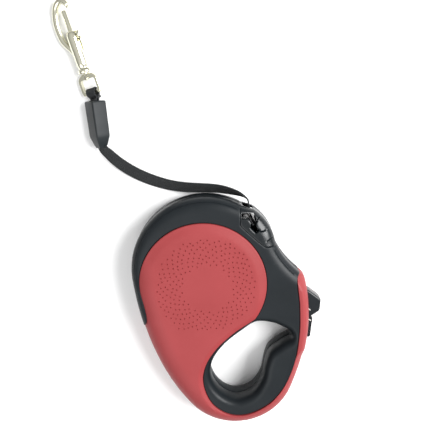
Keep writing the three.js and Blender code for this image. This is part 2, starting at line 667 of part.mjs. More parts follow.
function brakeButton() {
  const half = BUTTON_WIDTH / 2;
  const rear = drawn(-30.3);
  const hump = [
    new THREE.Vector2(BUTTON_BASE, BUTTON_FRONT),
    ...places([84.2, -7.4], [88.6, -10], [94, -14.3], [94.4, -20], [94, -25.4], [89.6, -30.3]),
    new THREE.Vector2(BUTTON_BASE, rear),
  ];
  const plateHalf = half + RETAINING_LIP;
  const plate = box(BUTTON_BASE - 3.5, BUTTON_BASE + 0.4, SLIDER_FRONT - 1.4,
    BUTTON_FRONT + RUN + RETAINING_LIP, MID - plateHalf, MID + plateHalf);
  const pusher = box(BUTTON_BASE - 3.9, BUTTON_BASE, drawn(-24), drawn(-16), MID, LEVER_HIGH);
  return prism(hump, MID - half, MID + half).add(plate).add(pusher);
}

function lockSlider() {
  const half = SLIDER_WIDTH / 2;
  const root = SLIDER_BASE - 0.4;
  const thumb = points2(
    [root, SLIDER_FRONT], [drawn(88.4), SLIDER_FRONT], [drawn(87.6), SLIDER_FRONT - 4],
    [drawn(88.3), SLIDER_FRONT - 9], [drawn(88), SLIDER_BACK + 1.5], [drawn(86.4), SLIDER_BACK],
    [root, SLIDER_BACK]);
  const plateHalf = half + RETAINING_LIP - RUN;
  const plate = box(SLIDER_BASE - 2.6, SLIDER_BASE, SLIDER_BACK + 0.6, SLIDER_FRONT - 2.2,
    MID - plateHalf, MID + plateHalf);
  return prism(thumb, MID - half, MID + half).add(plate);
}

function brakeLever() {
  const arm = [
    ...places([55, 6], [57, -1.5], [51.4, -3.2], [46.9, -4.4], [46.9, -7], [52, -8.4], [63, -8.8]),
    new THREE.Vector2(LEVER_FACE - 3.9, drawn(-23)),
    new THREE.Vector2(LEVER_FACE, drawn(-23)),
    new THREE.Vector2(LEVER_FACE, drawn(-13)),
    at(61.5, 10.5),
  ];
  const eye = upright(PIVOT_RADIUS + LEVER_EYE_WALL, RATCHET_LOW, LEVER_HIGH, PIVOT.x, PIVOT.y, 20);
  return prism(arm, RATCHET_LOW, LEVER_HIGH).add(eye)
    .subtract(upright(PIVOT_RADIUS + GAP, 0, THICKNESS, PIVOT.x, PIVOT.y, 16));
}

function pivotPin() {
  const half = CAVITY_TOP + PIVOT_SOCKET - GAP;
  return upright(PIVOT_RADIUS, MID - half, MID + half, PIVOT.x, PIVOT.y, 16);
}

function helix(radius, pitch, turns, perTurn) {
  const knots = [];
  for (let i = 0; i <= turns * perTurn; i++) {
    const angle = (2 * Math.PI * i) / perTurn;
    knots.push(new THREE.Vector3(radius * Math.cos(angle), radius * Math.sin(angle), (pitch * i) / perTurn));
  }
  return new THREE.CatmullRomCurve3(knots);
}

// Torsion spring round the lever's pin, between the lower boss and the lever.
function brakeSpring() {
  const wire = 0.5;
  const turns = 4;
  const perTurn = 9;
  const low = MID - LOWER_PIVOT_BOSS + wire + GAP;
  const high = RATCHET_LOW - wire - GAP;
  const path = helix(PIVOT_RADIUS + GAP + 2 * wire, (high - low) / turns, turns, perTurn);
  const coil = tubeAlong(path, wire, turns * perTurn, 5);
  coil.translate(PIVOT.x, PIVOT.y, low);
  return coil;
}

// ---------------------------------------------------------------- free tape

// The tape from the nozzle to the sleeve: its middle, and how far its top edge leans over to the
// inside of the bend, in degrees from upright.
const FREE_TAPE = [
  [35.3, 63.8, 18.0, 0], [33.8, 66.0, 17.8, 1], [31.0, 68.0, 17.3, 3], [26.6, 69.9, 16.4, 8],
  [20.4, 71.4, 14.8, 14], [13.2, 72.4, 12.9, 20], [5.4, 72.7, 11.0, 26], [-2.8, 72.6, 9.2, 31],
  [-11.4, 72.6, 7.6, 37], [-20.0, 73.2, 6.3, 43], [-28.4, 74.6, 5.4, 49], [-36.6, 76.8, 4.9, 53],
  [-44.6, 79.6, 4.7, 55], [-52.2, 83.0, 4.8, 54], [-59.2, 87.0, 5.2, 51], [-65.4, 91.4, 5.9, 47],
  [-70.4, 95.8, 6.9, 42], [-74.0, 99.6, 7.9, 38], [-76.4, 102.2, 8.8, 36], [-78.2, 104.9, 9.5, 35],
];

const SLEEVE_START = new THREE.Vector3(-79.0, 105.9, 9.75);
const SLEEVE_END = new THREE.Vector3(-82.3, 140.1, 9.75);
const SLEEVE_LEAN = 35;
const SLEEVE_TAPER = 0.62;       // section at the sleeve's lower end, as a share of the full one

// A horizontal direction turned up: the top edge leans to the left of the heading by the given angle.
function leaning(heading, degrees) {
  const lean = THREE.MathUtils.degToRad(degrees);
  const left = new THREE.Vector3(-heading.y, heading.x, 0).normalize();
  return left.multiplyScalar(Math.sin(lean)).add(new THREE.Vector3(0, 0, Math.cos(lean)));
}

function freeTape() {
  const centres = FREE_TAPE.map(([x, y, z]) => new THREE.Vector3(x, y, z));
  const directions = centres.map((centre, i) => {
    const before = centres[Math.max(i - 1, 0)];
    const after = centres[Math.min(i + 1, centres.length - 1)];
    return leaning(before.clone().sub(after), FREE_TAPE[i][3]);
  });
  return ribbon(centres, directions, TAPE_WIDTH, TAPE_THICKNESS);
}

function innerTape() {
  const route = TAPE_INSIDE.map((p) => new THREE.Vector3(p.x, p.y, MID));
  return ribbon(route, route.map(() => new THREE.Vector3(0, 0, 1)), TAPE_WIDTH, TAPE_THICKNESS);
}

function tapeSleeve() {
  const axis = SLEEVE_END.clone().sub(SLEEVE_START).normalize();
  const across = leaning(axis.clone().negate(), SLEEVE_LEAN);
  const face = axis.clone().cross(across);
  const corners = [[-1, -1], [1, -1], [1, 1], [-1, 1]];
  const ring = (along, scale) => corners.map(([w, d]) => SLEEVE_START.clone()
    .addScaledVector(axis, along)
    .addScaledVector(across, (w * SLEEVE_WIDTH * scale) / 2)
    .addScaledVector(face, (d * SLEEVE_DEPTH * scale) / 2));
  const length = SLEEVE_END.distanceTo(SLEEVE_START);
  return skin([ring(0, SLEEVE_TAPER), ring(SLEEVE_CHAMFER, 1), ring(length, 1)]);
}

// ---------------------------------------------------------------- bolt snap, built along its own Y axis

function alongY(radius, y0, y1, sides = 20) {
  const geometry = new THREE.CylinderGeometry(radius, radius, y1 - y0, sides);
  geometry.translate(0, (y0 + y1) / 2, 0);
  return solid(geometry);
}

function clipHook() {
  const bow = new THREE.CatmullRomCurve3([
    [-2.6, 17], [-6.8, 22.4], [-BOW_REACH, 30.5], [-BOW_REACH, 40], [-7.8, 48.3], [-3, 54.2],
    [1.8, 54.6], [3.4, 51.6], [3.3, 48.2],
  ].map(([x, y]) => new THREE.Vector3(x, y, 0)));
  const ringSeat = box(-6.5, 1.5, 49, 53, -3, 3);
  const slotHalf = 2.1;
  const slot = box(0, 9, KNOB_LOW - BOLT_TRAVEL - 0.6, BARREL_LENGTH + 1, -slotHalf, slotHalf);
  return alongY(CLIP_FLANGE_RADIUS, 0.4, 3.2, 24)
    .add(alongY(BARREL_RADIUS, 3, BARREL_LENGTH, 24))
    .add(solid(tubeAlong(bow, BOW_RADIUS, 30, 10)).subtract(ringSeat))
    .subtract(alongY(BORE_RADIUS, 3.4, BARREL_LENGTH + 1))
    .subtract(alongY(BORE_RADIUS + 1.1, BARREL_LENGTH + GAP, BOLT_HIGH + GAP))
    .subtract(alongY(STUD_RADIUS + GAP, -1, 4))
    .subtract(slot);
}

function clipBolt() {
  const knobBase = BARREL_RADIUS + 0.4;
  const stem = box(0, knobBase + 0.4, KNOB_LOW + 1.4, KNOB_HIGH - 1.4, -1.6, 1.6);
  const knob = box(knobBase, knobBase + 2.2, KNOB_LOW, KNOB_HIGH, -2.9, 2.9);
  const bore = alongY(BOLT_RADIUS - BOLT_WALL, BOLT_LOW - 1, KNOB_LOW + 1.2, 16);
  return alongY(BOLT_RADIUS, BOLT_LOW, BOLT_HIGH, 16).add(stem).add(knob).subtract(bore);
}

// Coil that reaches from the stud's head into the bolt's bore.
function clipSpring() {
  const wire = 0.25;
  const turns = 6;
  const perTurn = 6;
  const low = STUD_TOP + wire + GAP;
  const high = BOLT_LOW + 3.7;
  const radius = BOLT_RADIUS - BOLT_WALL - wire - GAP;
  const path = helix(radius, (high - low) / turns, turns, perTurn);
  const coil = tubeAlong(path, wire, turns * perTurn, 4);
  coil.rotateX(-Math.PI / 2);
  coil.translate(0, low, 0);
  return coil;
}

function clipEye() {
  const foot = -EYE_LENGTH;
  const outside = points2([-3.4, -0.2], [-EYE_HALF, -3.2], [-EYE_HALF, foot + 3], [-EYE_HALF + 2, foot],
    [EYE_HALF - 2, foot], [EYE_HALF, foot + 3], [EYE_HALF, -3.2], [3.4, -0.2]);
  const inside = points2([-EYE_INSIDE, -4.4], [-EYE_INSIDE, foot + EYE_BAR], [EYE_INSIDE, foot + EYE_BAR],
    [EYE_INSIDE, -4.4], [1.5, -3.2], [-1.5, -3.2]);
  return prism(outside, -EYE_BAR / 2, EYE_BAR / 2)
    .subtract(prism(inside, -EYE_BAR, EYE_BAR))
    .add(alongY(STUD_RADIUS, -2, STUD_TOP - 0.4, 16))
    .add(alongY(STUD_HEAD_RADIUS, STUD_TOP - 1.2, STUD_TOP, 16));
}

// The tape goes round the eye's lower bar and both ends go down to the sleeve.
function tapeLoop() {
  const radius = EYE_BAR * Math.SQRT1_2 + GAP + TAPE_THICKNESS / 2;
  const barY = -EYE_LENGTH + EYE_BAR / 2;
  const pinched = TAPE_THICKNESS / 2 + GAP + 0.05;
  const leg = [[pinched, barY - 4.7], [pinched + 0.35, barY - 3.7], [radius, barY - 1.8]]
    .map(([z, y]) => new THREE.Vector3(0, y, z));
  const steps = 8;
  const arc = [];
  for (let i = 0; i <= steps; i++) {
    const angle = (Math.PI * i) / steps;
    arc.push(new THREE.Vector3(0, barY + radius * Math.sin(angle), radius * Math.cos(angle)));
  }
  const otherLeg = leg.slice().reverse().map((p) => new THREE.Vector3(0, p.y, -p.z));
  const centres = [...leg, ...arc, ...otherLeg];
  return ribbon(centres, centres.map(() => new THREE.Vector3(1, 0, 0)), TAPE_WIDTH, TAPE_THICKNESS);
}

// ---------------------------------------------------------------- assembly

const leash = new THREE.Group();

add(leash, 'lower_case', caseHalf(-1), black);
add(leash, 'upper_case', caseHalf(1), black);
add(leash, 'lower_cover', cover(-1), red);
add(leash, 'upper_cover', cover(1), red);
SCREW_PLACES.forEach(({ x, y }, i) => add(leash, `case_screw_${i + 1}`, caseScrew(x, y), steel));

add(leash, 'nozzle_insert', nozzleInsert(), glossBlack);
add(leash, 'front_roller', roller(FRONT_ROLLER), glossBlack);
add(leash, 'rear_roller', roller(REAR_ROLLER), glossBlack);
add(leash, 'front_roller_pin', rollerPin(FRONT_ROLLER), steel);
add(leash, 'rear_roller_pin', rollerPin(REAR_ROLLER), steel);

add(leash, 'spool', spool(), acetal);
add(leash, 'spring_cover', springCover(), acetal);
add(leash, 'power_spring', powerSpring(), steel);
add(leash, 'spool_axle', spoolAxle(), acetal);
add(leash, 'axle_screw', axleScrew(), steel);
add(leash, 'upper_washer', washer(RATCHET_HIGH + GAP), steel);
add(leash, 'lower_washer', washer(FLANGE_LOW - GAP - WASHER_THICKNESS), steel);
add(leash, 'wound_tape', woundTape(), webbing);

add(leash, 'brake_button', brakeButton(), glossBlack);
add(leash, 'lock_slider', lockSlider(), glossBlack);
add(leash, 'brake_lever', brakeLever(), acetal);
add(leash, 'brake_pivot_pin', pivotPin(), steel);
add(leash, 'brake_spring', brakeSpring(), steel);

add(leash, 'inner_tape', innerTape(), webbing);
add(leash, 'free_tape', freeTape(), webbing);
add(leash, 'tape_sleeve', tapeSleeve(), rubber);

const clip = new THREE.Group();
clip.position.set(CLIP_PLACE.x, CLIP_PLACE.y, CLIP_AXIS_HEIGHT);
clip.rotation.z = CLIP_ANGLE;
leash.add(clip);

// The bow's side lies on the surface, which tips the hook over.
const hookGroup = new THREE.Group();
hookGroup.rotation.y = -Math.asin((CLIP_AXIS_HEIGHT - BOW_RADIUS - 0.15) / BOW_REACH);
clip.add(hookGroup);
add(hookGroup, 'clip_hook', clipHook(), chrome);
add(hookGroup, 'clip_bolt', clipBolt(), chrome);
add(hookGroup, 'clip_spring', clipSpring(), steel);

const eyeGroup = new THREE.Group();
eyeGroup.rotation.y = THREE.MathUtils.degToRad(-21);
clip.add(eyeGroup);
add(eyeGroup, 'clip_eye', clipEye(), chrome);
add(eyeGroup, 'tape_loop', tapeLoop(), webbing);

export default leash;
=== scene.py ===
import json
import math

import bpy
import numpy as np
from mathutils import Matrix, Vector
from mathutils.geometry import delaunay_2d_cdt

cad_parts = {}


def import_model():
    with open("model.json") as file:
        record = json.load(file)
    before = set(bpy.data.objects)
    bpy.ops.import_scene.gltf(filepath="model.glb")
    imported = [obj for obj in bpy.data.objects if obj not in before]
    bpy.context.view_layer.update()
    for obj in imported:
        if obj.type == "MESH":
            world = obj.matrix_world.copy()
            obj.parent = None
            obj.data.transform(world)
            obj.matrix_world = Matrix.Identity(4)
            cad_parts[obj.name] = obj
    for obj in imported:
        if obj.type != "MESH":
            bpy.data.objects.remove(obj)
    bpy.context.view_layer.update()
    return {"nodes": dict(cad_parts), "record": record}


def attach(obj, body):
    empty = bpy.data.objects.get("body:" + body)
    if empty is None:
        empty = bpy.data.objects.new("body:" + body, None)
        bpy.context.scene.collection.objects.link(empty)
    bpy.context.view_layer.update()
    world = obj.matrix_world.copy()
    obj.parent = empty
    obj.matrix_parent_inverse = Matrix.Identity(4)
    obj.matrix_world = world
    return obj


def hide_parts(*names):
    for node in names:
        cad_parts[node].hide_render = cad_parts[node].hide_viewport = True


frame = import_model()

# Sizes are written in millimetres, as in the CAD model, and scaled by MM when a mesh is made.
MM = 0.001
MID = 18.0                       # parting plane
CASE_TOP = 15.5                  # half height of the black case
COVER_TOP = 18.0                 # half height over the red covers
SHELL = 2.2
PARTING = 0.15                   # half the gap between the two halves
SLOT = (-53.8, -6.9)             # the brake's slot in the spine, along Y
SLOT_HALF = 6.5
MOUTH = (31.0, 38.2)             # the tape's mouth in the nozzle, along X
MOUTH_HALF = 6.8
TAPE_WIDTH = 12.0
TAPE_THICKNESS = 1.2
SCREWS = [(-14, 54), (-40, 33), (56, -20), (63, -76)]
FRONT_ROLLER = (45.207, 48.403)
REAR_ROLLER = (32.714, 48.946)
ROLLER_RADIUS = 3.5
SEAM = 3.2                       # the fine line round the case's top, inwards from its outline
ROLLER_CLEAR = 7.2               # half height that the nozzle's roof keeps clear for the rollers
BOSS_RADIUS = 5.2                # groove round the front roller's boss in the nozzle
CASE_ROUND = (7.5, 11.5)         # how far the case's top falls to its outline, and over what width
HOLE_ROUND = (8.0, 6.5)          # the same round the finger hole
SCREW_FLOOR = 12.2               # half height of the floor of a screw's recess
SCREW_RECESS = 3.0               # radius of that recess
COVER_RADIUS = 49.7              # the cover's round front edge, about the spool's axis
NARROW_RIM = 3.2                 # the cover's sloping rim along the grip
WIDE_RIM = 7.8                   # the same round the front
GOLDEN_ANGLE = 2.39996           # turn from one dimple to the next, in radians
RIB_PITCH = 1.5                  # from one cross rib of the webbing to the next


# ---------------- camera, floor and light

def camera():
    data = bpy.data.cameras.new("view")
    data.sensor_width = 36
    data.angle = math.radians(40.1)
    data.clip_start = 0.01
    cam = bpy.data.objects.new("view", data)
    cam.location = (0.00932, 0.16034, 0.4667)
    cam.rotation_euler = (math.radians(-13.5), 0, 0)
    bpy.context.scene.collection.objects.link(cam)
    bpy.context.scene.camera = cam


def area_light(name, place, size, power):
    """A round lamp that points at the middle of the case."""
    data = bpy.data.lights.new(name, "AREA")
    data.shape = "DISK"
    data.size = size
    data.energy = power
    lamp = bpy.data.objects.new(name, data)
    lamp.location = place
    lamp.rotation_euler = (-Vector(place)).to_track_quat("-Z", "Y").to_euler()
    bpy.context.scene.collection.objects.link(lamp)


def world(strength):
    """A bright sky with a darker band a little above the horizon, as a room gives round a light tent."""
    studio = bpy.data.worlds.new("studio")
    studio.use_nodes = True
    tree = studio.node_tree
    place = tree.nodes.new("ShaderNodeTexCoord")
    split = tree.nodes.new("ShaderNodeSeparateXYZ")
    ramp = tree.nodes.new("ShaderNodeValToRGB")
    background = tree.nodes["Background"]
    tree.links.new(place.outputs["Generated"], split.inputs["Vector"])
    tree.links.new(split.outputs["Z"], ramp.inputs["Fac"])
    tree.links.new(ramp.outputs["Color"], background.inputs["Color"])
    elements = ramp.color_ramp.elements
    elements[0].color = (1, 1, 1, 1)
    elements[1].color = (1, 1, 1, 1)
    for position, level in ((0.1, 0.95), (0.2, 0.1), (0.38, 0.55)):
        element = elements.new(position)
        element.color = (level, level, level, 1)
    background.inputs["Strength"].default_value = strength
    bpy.context.scene.world = studio


# ---------------- materials

class Nodes:
    """A material's node tree with short ways to add and join nodes."""

    def __init__(self, name, **settings):
        self.material = bpy.data.materials.new(name)
        self.material.use_nodes = True
        self.tree = self.material.node_tree
        self.shader = self.tree.nodes["Principled BSDF"]
        for key, value in settings.items():
            self.shader.inputs[key.replace("_", " ")].default_value = value
        self.place = self.add("ShaderNodeTexCoord").outputs["Object"]

    def add(self, kind, **inputs):
        node = self.tree.nodes.new(kind)
        for key, value in inputs.items():
            socket = node.inputs[key.replace("_", " ")]
            if isinstance(value, bpy.types.NodeSocket):
                self.tree.links.new(value, socket)
            else:
                socket.default_value = value
        return node

    def noise(self, scale, detail, vector=None):
        source = self.place if vector is None else vector
        return self.add("ShaderNodeTexNoise", Vector=source, Scale=scale, Detail=detail).outputs["Fac"]

    def ramp(self, factor, stops):
        node = self.add("ShaderNodeValToRGB", Fac=factor)
        elements = node.color_ramp.elements
        for i, (position, colour) in enumerate(stops):
            element = elements[i] if i < 2 else elements.new(position)
            element.position = position
            element.color = (*colour, 1)
        return node.outputs["Color"]

    def span(self, factor, low, high):
        node = self.add("ShaderNodeMapRange", Value=factor, To_Min=low, To_Max=high)
        return node.outputs["Result"]

    def bump(self, height, strength, distance):
        node = self.add("ShaderNodeBump", Height=height, Strength=strength, Distance=distance)
        self.tree.links.new(node.outputs["Normal"], self.shader.inputs["Normal"])

    def into(self, output, socket):
        self.tree.links.new(output, self.shader.inputs[socket])


def moulded(name, dark, light, rough, texture=0.12, shine=0.5):
    """Moulded plastic: slight cloudiness, a fine spark texture and uneven gloss."""
    n = Nodes(name, IOR=1.5, Specular_IOR_Level=shine)
    n.into(n.ramp(n.noise(38, 4), [(0.3, dark), (0.7, light)]), "Base Color")
    n.into(n.span(n.noise(90, 2), rough - 0.05, rough + 0.05), "Roughness")
    n.bump(n.noise(2600, 2), texture, 0.00012)
    return n.material


def metal(name, colour, rough, scratch):
    """Plated or bright metal, a little uneven in colour, gloss and surface."""
    n = Nodes(name, Metallic=1.0)
    duller = tuple(c * 0.93 for c in colour)
    n.into(n.ramp(n.noise(60, 3), [(0.25, duller), (0.75, colour)]), "Base Color")
    n.into(n.span(n.noise(240, 5), rough * 0.6, rough * 1.5), "Roughness")
    n.bump(n.noise(900, 4), scratch, 0.0001)
    return n.material


def webbing_material():
    """Black nylon webbing. UV x runs along the tape in millimetres and y across it."""
    n = Nodes("webbing", Sheen_Weight=0.08, Sheen_Roughness=0.5, Specular_IOR_Level=0.3)
    uv = n.add("ShaderNodeTexCoord").outputs["UV"]
    yarn = n.add("ShaderNodeTexBrick", Vector=uv, Scale=1.0, Mortar_Size=0.09, Brick_Width=RIB_PITCH,
                 Row_Height=0.62)
    yarn.inputs["Color1"].default_value = (0.008, 0.010, 0.012, 1)
    yarn.inputs["Color2"].default_value = (0.014, 0.017, 0.019, 1)
    yarn.inputs["Mortar"].default_value = (0.003, 0.004, 0.004, 1)
    fibre = n.add("ShaderNodeMapping", Vector=uv, Scale=(0.8, 9.0, 1.0)).outputs["Vector"]
    fuzz = n.noise(3.0, 4, fibre)
    tint = n.add("ShaderNodeMixRGB", Fac=0.35, Color1=yarn.outputs["Color"],
                 Color2=n.ramp(fuzz, [(0.35, (0.005, 0.006, 0.007)), (0.7, (0.030, 0.034, 0.037))]))
    n.into(tint.outputs["Color"], "Base Color")
    n.into(n.span(fuzz, 0.72, 0.95), "Roughness")
    height = n.add("ShaderNodeMath", Value=yarn.outputs["Fac"])
    height.operation = "MULTIPLY_ADD"
    height.inputs[1].default_value = -1.0
    n.tree.links.new(fuzz, height.inputs[2])
    n.bump(height.outputs["Value"], 0.7, 0.0005)
    return n.material


def red_material():
    """Soft-touch red plastic: matte and faintly mottled."""
    n = Nodes("cover_red", IOR=1.45, Specular_IOR_Level=0.32)
    mottle = [(0.3, (0.245, 0.031, 0.033)), (0.7, (0.275, 0.038, 0.041))]
    n.into(n.ramp(n.noise(26, 4), mottle), "Base Color")
    n.into(n.span(n.noise(70, 2), 0.46, 0.56), "Roughness")
    n.bump(n.noise(2200, 2), 0.1, 0.0001)
    return n.material


def floor_material():
    n = Nodes("floor", IOR=1.3)
    n.into(n.ramp(n.noise(3, 2), [(0.3, (0.93,) * 3), (0.7, (0.96,) * 3)]), "Base Color")
    n.shader.inputs["Roughness"].default_value = 0.9
    return n.material


MATERIALS = {
    "case_black": moulded("case_black", (0.0065, 0.0088, 0.0108), (0.0095, 0.0125, 0.0148), 0.42,
                          shine=0.21),
    "cover_red": red_material(),
    "gloss_black": moulded("gloss_black", (0.0055, 0.0075, 0.009), (0.009, 0.0115, 0.0135), 0.27,
                           texture=0.04, shine=0.34),
    "webbing": webbing_material(),
    "sleeve_rubber": moulded("sleeve_rubber", (0.0085, 0.011, 0.0125), (0.013, 0.0165, 0.0185), 0.50,
                             texture=0.2, shine=0.28),
    "chrome": metal("chrome", (0.80, 0.785, 0.63), 0.11, 0.05),
    "steel": metal("steel", (0.56, 0.57, 0.58), 0.3, 0.15),
    "acetal": moulded("acetal", (0.58, 0.56, 0.51), (0.70, 0.68, 0.63), 0.45),
}


# ---------------- making a piece

def mesh_of(name, points, faces):
    """A Blender mesh from points in millimetres."""
    mesh = bpy.data.meshes.new(name)
    placed = [tuple(float(c) * MM for c in p) for p in points]
    mesh.from_pydata(placed, [], [tuple(map(int, f)) for f in faces])
    return mesh


def piece(name, points, faces, body, slot, replaces=(), angle=32.0, uv=None):
    """A mesh piece from points in millimetres, shaded smooth except along edges sharper than angle."""
    mesh = mesh_of(name, points, faces)
    mesh.validate()
    mesh.shade_smooth()
    mesh.set_sharp_from_angle(angle=math.radians(angle))
    if uv is not None:
        layer = mesh.uv_layers.new(name="along")
        for loop in mesh.loops:
            layer.data[loop.index].uv = uv[loop.vertex_index]
    mesh.materials.append(MATERIALS[slot])
    obj = bpy.data.objects.new(name, mesh)
    bpy.context.scene.collection.objects.link(obj)
    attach(obj, body)
    if replaces:
        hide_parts(*replaces)
    return obj


# ---------------- plan curves

PLAN_STEP = 1.15                 # from one point of a plan curve to the next


def unit(v):
    return v / max(np.linalg.norm(v), 1e-12)


def on_circle(centre, radius, degrees):
    angle = np.radians(degrees)
    return np.stack([centre[0] + radius * np.cos(angle), centre[1] + radius * np.sin(angle)], axis=-1)


def bezier(a, b, c, d, count=60):
    t = np.linspace(0, 1, count)[:, None]
    a, b, c, d = (np.array(p, float) for p in (a, b, c, d))
    return (1 - t) ** 3 * a + 3 * (1 - t) ** 2 * t * b + 3 * (1 - t) * t ** 2 * c + t ** 3 * d


def through(knots, closed, per_segment=40):
    """A centripetal Catmull-Rom curve through the knots."""
    p = np.array(knots, float)
    if closed:
        ring = np.vstack([p[-1], p, p[0], p[1]])
    else:
        ring = np.vstack([2 * p[0] - p[1], p, 2 * p[-1] - p[-2]])
    out = []
    for a, b, c, d in zip(ring, ring[1:], ring[2:], ring[3:]):
        before, here, after = (max(np.linalg.norm(v) ** 0.5, 1e-6) for v in (b - a, c - b, d - c))
        leave = ((b - a) / before - (c - a) / (before + here) + (c - b) / here) * here
        arrive = ((c - b) / here - (d - b) / (here + after) + (d - c) / after) * here
        t = np.linspace(0, 1, per_segment, endpoint=False)[:, None]
        h = [2 * t ** 3 - 3 * t ** 2 + 1, t ** 3 - 2 * t ** 2 + t, 3 * t ** 2 - 2 * t ** 3, t ** 3 - t ** 2]
        out.append(h[0] * b + h[1] * leave + h[2] * c + h[3] * arrive)
    if not closed:
        out.append(p[-1:])
    return np.vstack(out)


def spaced(line, step, closed):
    """Points about a step apart along a polyline."""
    full = np.vstack([line, line[:1]]) if closed else line
    lengths = np.concatenate([[0], np.cumsum(np.linalg.norm(np.diff(full, axis=0), axis=1))])
    count = max(int(round(lengths[-1] / step)), 2)
    marks = np.linspace(0, lengths[-1], count + 1)
    if closed:
        marks = marks[:-1]
    return np.stack([np.interp(marks, lengths, full[:, k]) for k in range(full.shape[1])], axis=-1)


def case_outline():
    head, tail = (2.3, 10.0), (26.3, -75.0)
    arcs = lambda c, r, a, b: on_circle(c, r, np.linspace(a, b, 90))
    head_arc = arcs(head, 58.7, 63, 188)
    tail_arc = arcs(tail, 49.0, 222, 340)
    reach = np.linalg.norm(head_arc[-1] - tail_arc[0]) / 3
    leave = head_arc[-1] + on_circle((0, 0), reach, 278)
    arrive = tail_arc[0] - on_circle((0, 0), reach, 312)
    spine = bezier(tail_arc[-1], tail_arc[-1] + (12, 33), (87.7, -31.7), (80.7, 2.6))
    shoulder = bezier((80.7, 2.6), (80.2, 4.6), (78.9, 6.1), (76.9, 7.4), 12)
    neck = bezier((76.9, 7.4), (68.3, 14), (59.3, 24), (55.8, 35))
    cheek = bezier((55.8, 35), (54.3, 43), (49.3, 52), (39.3, 59))
    flank = bezier(head_arc[-1], leave, arrive, tail_arc[0])
    rest = [part[1:] for part in (flank, tail_arc, spine, shoulder, neck, cheek)]
    return spaced(np.vstack([head_arc, *rest]), PLAN_STEP, True)


OUTLINE = case_outline()
HOLE = spaced(through([
    (54.8, -33.5), (42.3, -32.8), (30.3, -40.8), (15.8, -53.8), (7.1, -68), (6.5, -82), (14.3, -95),
    (26.3, -100.8), (39.3, -96.3), (47.5, -84), (50.5, -69), (53.8, -60), (63.3, -52.2), (70.9, -46.8),
    (69.8, -41.2), (62.8, -36.6)], True), PLAN_STEP, True)
FRONT_ARC = on_circle((0, 0), COVER_RADIUS, np.linspace(188, -34, 112))
GRIP_EDGE = through([
    tuple(FRONT_ARC[-2]), tuple(FRONT_ARC[-1]), (24.3, -40.2), (9.8, -54.8), (1.3, -70), (-0.1, -85),
    (7.3, -103), (20.6, -112.2), (34.5, -112.9), (52.1, -104.2), (64.7, -89.7), (73.3, -68), (76.7, -40),
    (76.2, -18), (74.4, 6.1), (78.5, 9.5), (86, 15)], False)[41:]
FLANK_END = FRONT_ARC[0] + on_circle((0, 0), 27, 278)
FLANK_EDGE = through([
    (-75, -52), (-58, -41.5), tuple(FLANK_END), tuple(FRONT_ARC[0]), tuple(FRONT_ARC[1])], False)[:-41]
COVER_EDGE = spaced(np.vstack([FLANK_EDGE, FRONT_ARC, GRIP_EDGE]), PLAN_STEP, False)
NOZZLE_EDGE = spaced(np.array([
    (28.6, 74), (28.6, 48.4), (29.2, 46.8), (42.2, 35), (48.0, 30.6), (49.6, 30.2), (57, 31),
    (66, 32.2)]), 1.0, False)
NOZZLE_BEYOND = np.array([(66, 33), (110, 34), (110, 90), (28.6, 90)])
CREASE_POINT = np.array((54.9, 39.0))
CREASE_NORMAL = np.array((0.527, -0.85))
NOZZLE_OPENING = spaced(np.vstack([
    [(29.7, 56.9), (29.7, 52.9), (31.2, 53.1)], on_circle(REAR_ROLLER, 4.2, np.linspace(78, -38, 16)),
    [(37.6, 44.6), (40.6, 41.6), (42.4, 43.2)], on_circle(FRONT_ROLLER, 4.6, np.linspace(240, 150, 14)),
    [(38.7, 56.9)]]), 0.8, True)


# ---------------- distances

def distance(points, line, closed):
    """Distance of each point to a polyline, and the index of the nearest segment."""
    a = line
    b = np.roll(line, -1, axis=0)
    if not closed:
        a, b = line[:-1], line[1:]
    edge = b - a
    size = np.maximum((edge ** 2).sum(1), 1e-12)
    best = np.full(len(points), np.inf)
    nearest = np.zeros(len(points), int)
    for start in range(0, len(points), 4000):
        part = points[start:start + 4000]
        offset = part[:, None, :] - a[None]
        along = np.clip((offset * edge[None]).sum(2) / size[None], 0, 1)
        gap = np.linalg.norm(offset - along[..., None] * edge[None], axis=2)
        nearest[start:start + 4000] = gap.argmin(1)
        best[start:start + 4000] = gap.min(1)
    return best, nearest


def inside(points, loop):
    """Whether each point lies inside a closed loop."""
    x, y = points[:, 0][:, None], points[:, 1][:, None]
    a, b = loop, np.roll(loop, -1, axis=0)
    crosses = (a[:, 1] > y) != (b[:, 1] > y)
    with np.errstate(divide="ignore", invalid="ignore"):
        at = a[:, 0] + (y - a[:, 1]) * (b[:, 0] - a[:, 0]) / (b[:, 1] - a[:, 1])
    return (np.where(crosses, x < at, False).sum(1) % 2) == 1


def rows_beside(line, closed, gaps, others):
    """Rows of points beside a line, on both sides, left out where they would crowd a line."""
    before = np.roll(line, 1, axis=0)
    after = np.roll(line, -1, axis=0)
    if not closed:
        before[0], after[-1] = line[0], line[-1]
    along = after - before
    length = np.maximum(np.linalg.norm(along, axis=1), 1e-9)[:, None]
    normal = np.stack([-along[:, 1], along[:, 0]], 1) / length
    kept = []
    for gap in gaps:
        thin = 1 if gap < 5 else 2
        for side in (1, -1):
            row = (line + side * gap * normal)[::thin]
            far = distance(row, line, closed)[0] > gap * 0.96
            for other, other_closed in others:
                far &= distance(row, other, other_closed)[0] > min(gap, 1.6) * 0.62
            kept.append(row[far])
    return np.vstack(kept)


# ---------------- the body's surface in plan

def screw_rings():
    """Points on both sides of the edge of each screw's recess."""
    rings = []
    for place in SCREWS:
        for radius in (2.95, 3.1, 3.6):
            rings.append(on_circle(place, radius, np.arange(0, 360, 20)))
    return np.vstack(rings)


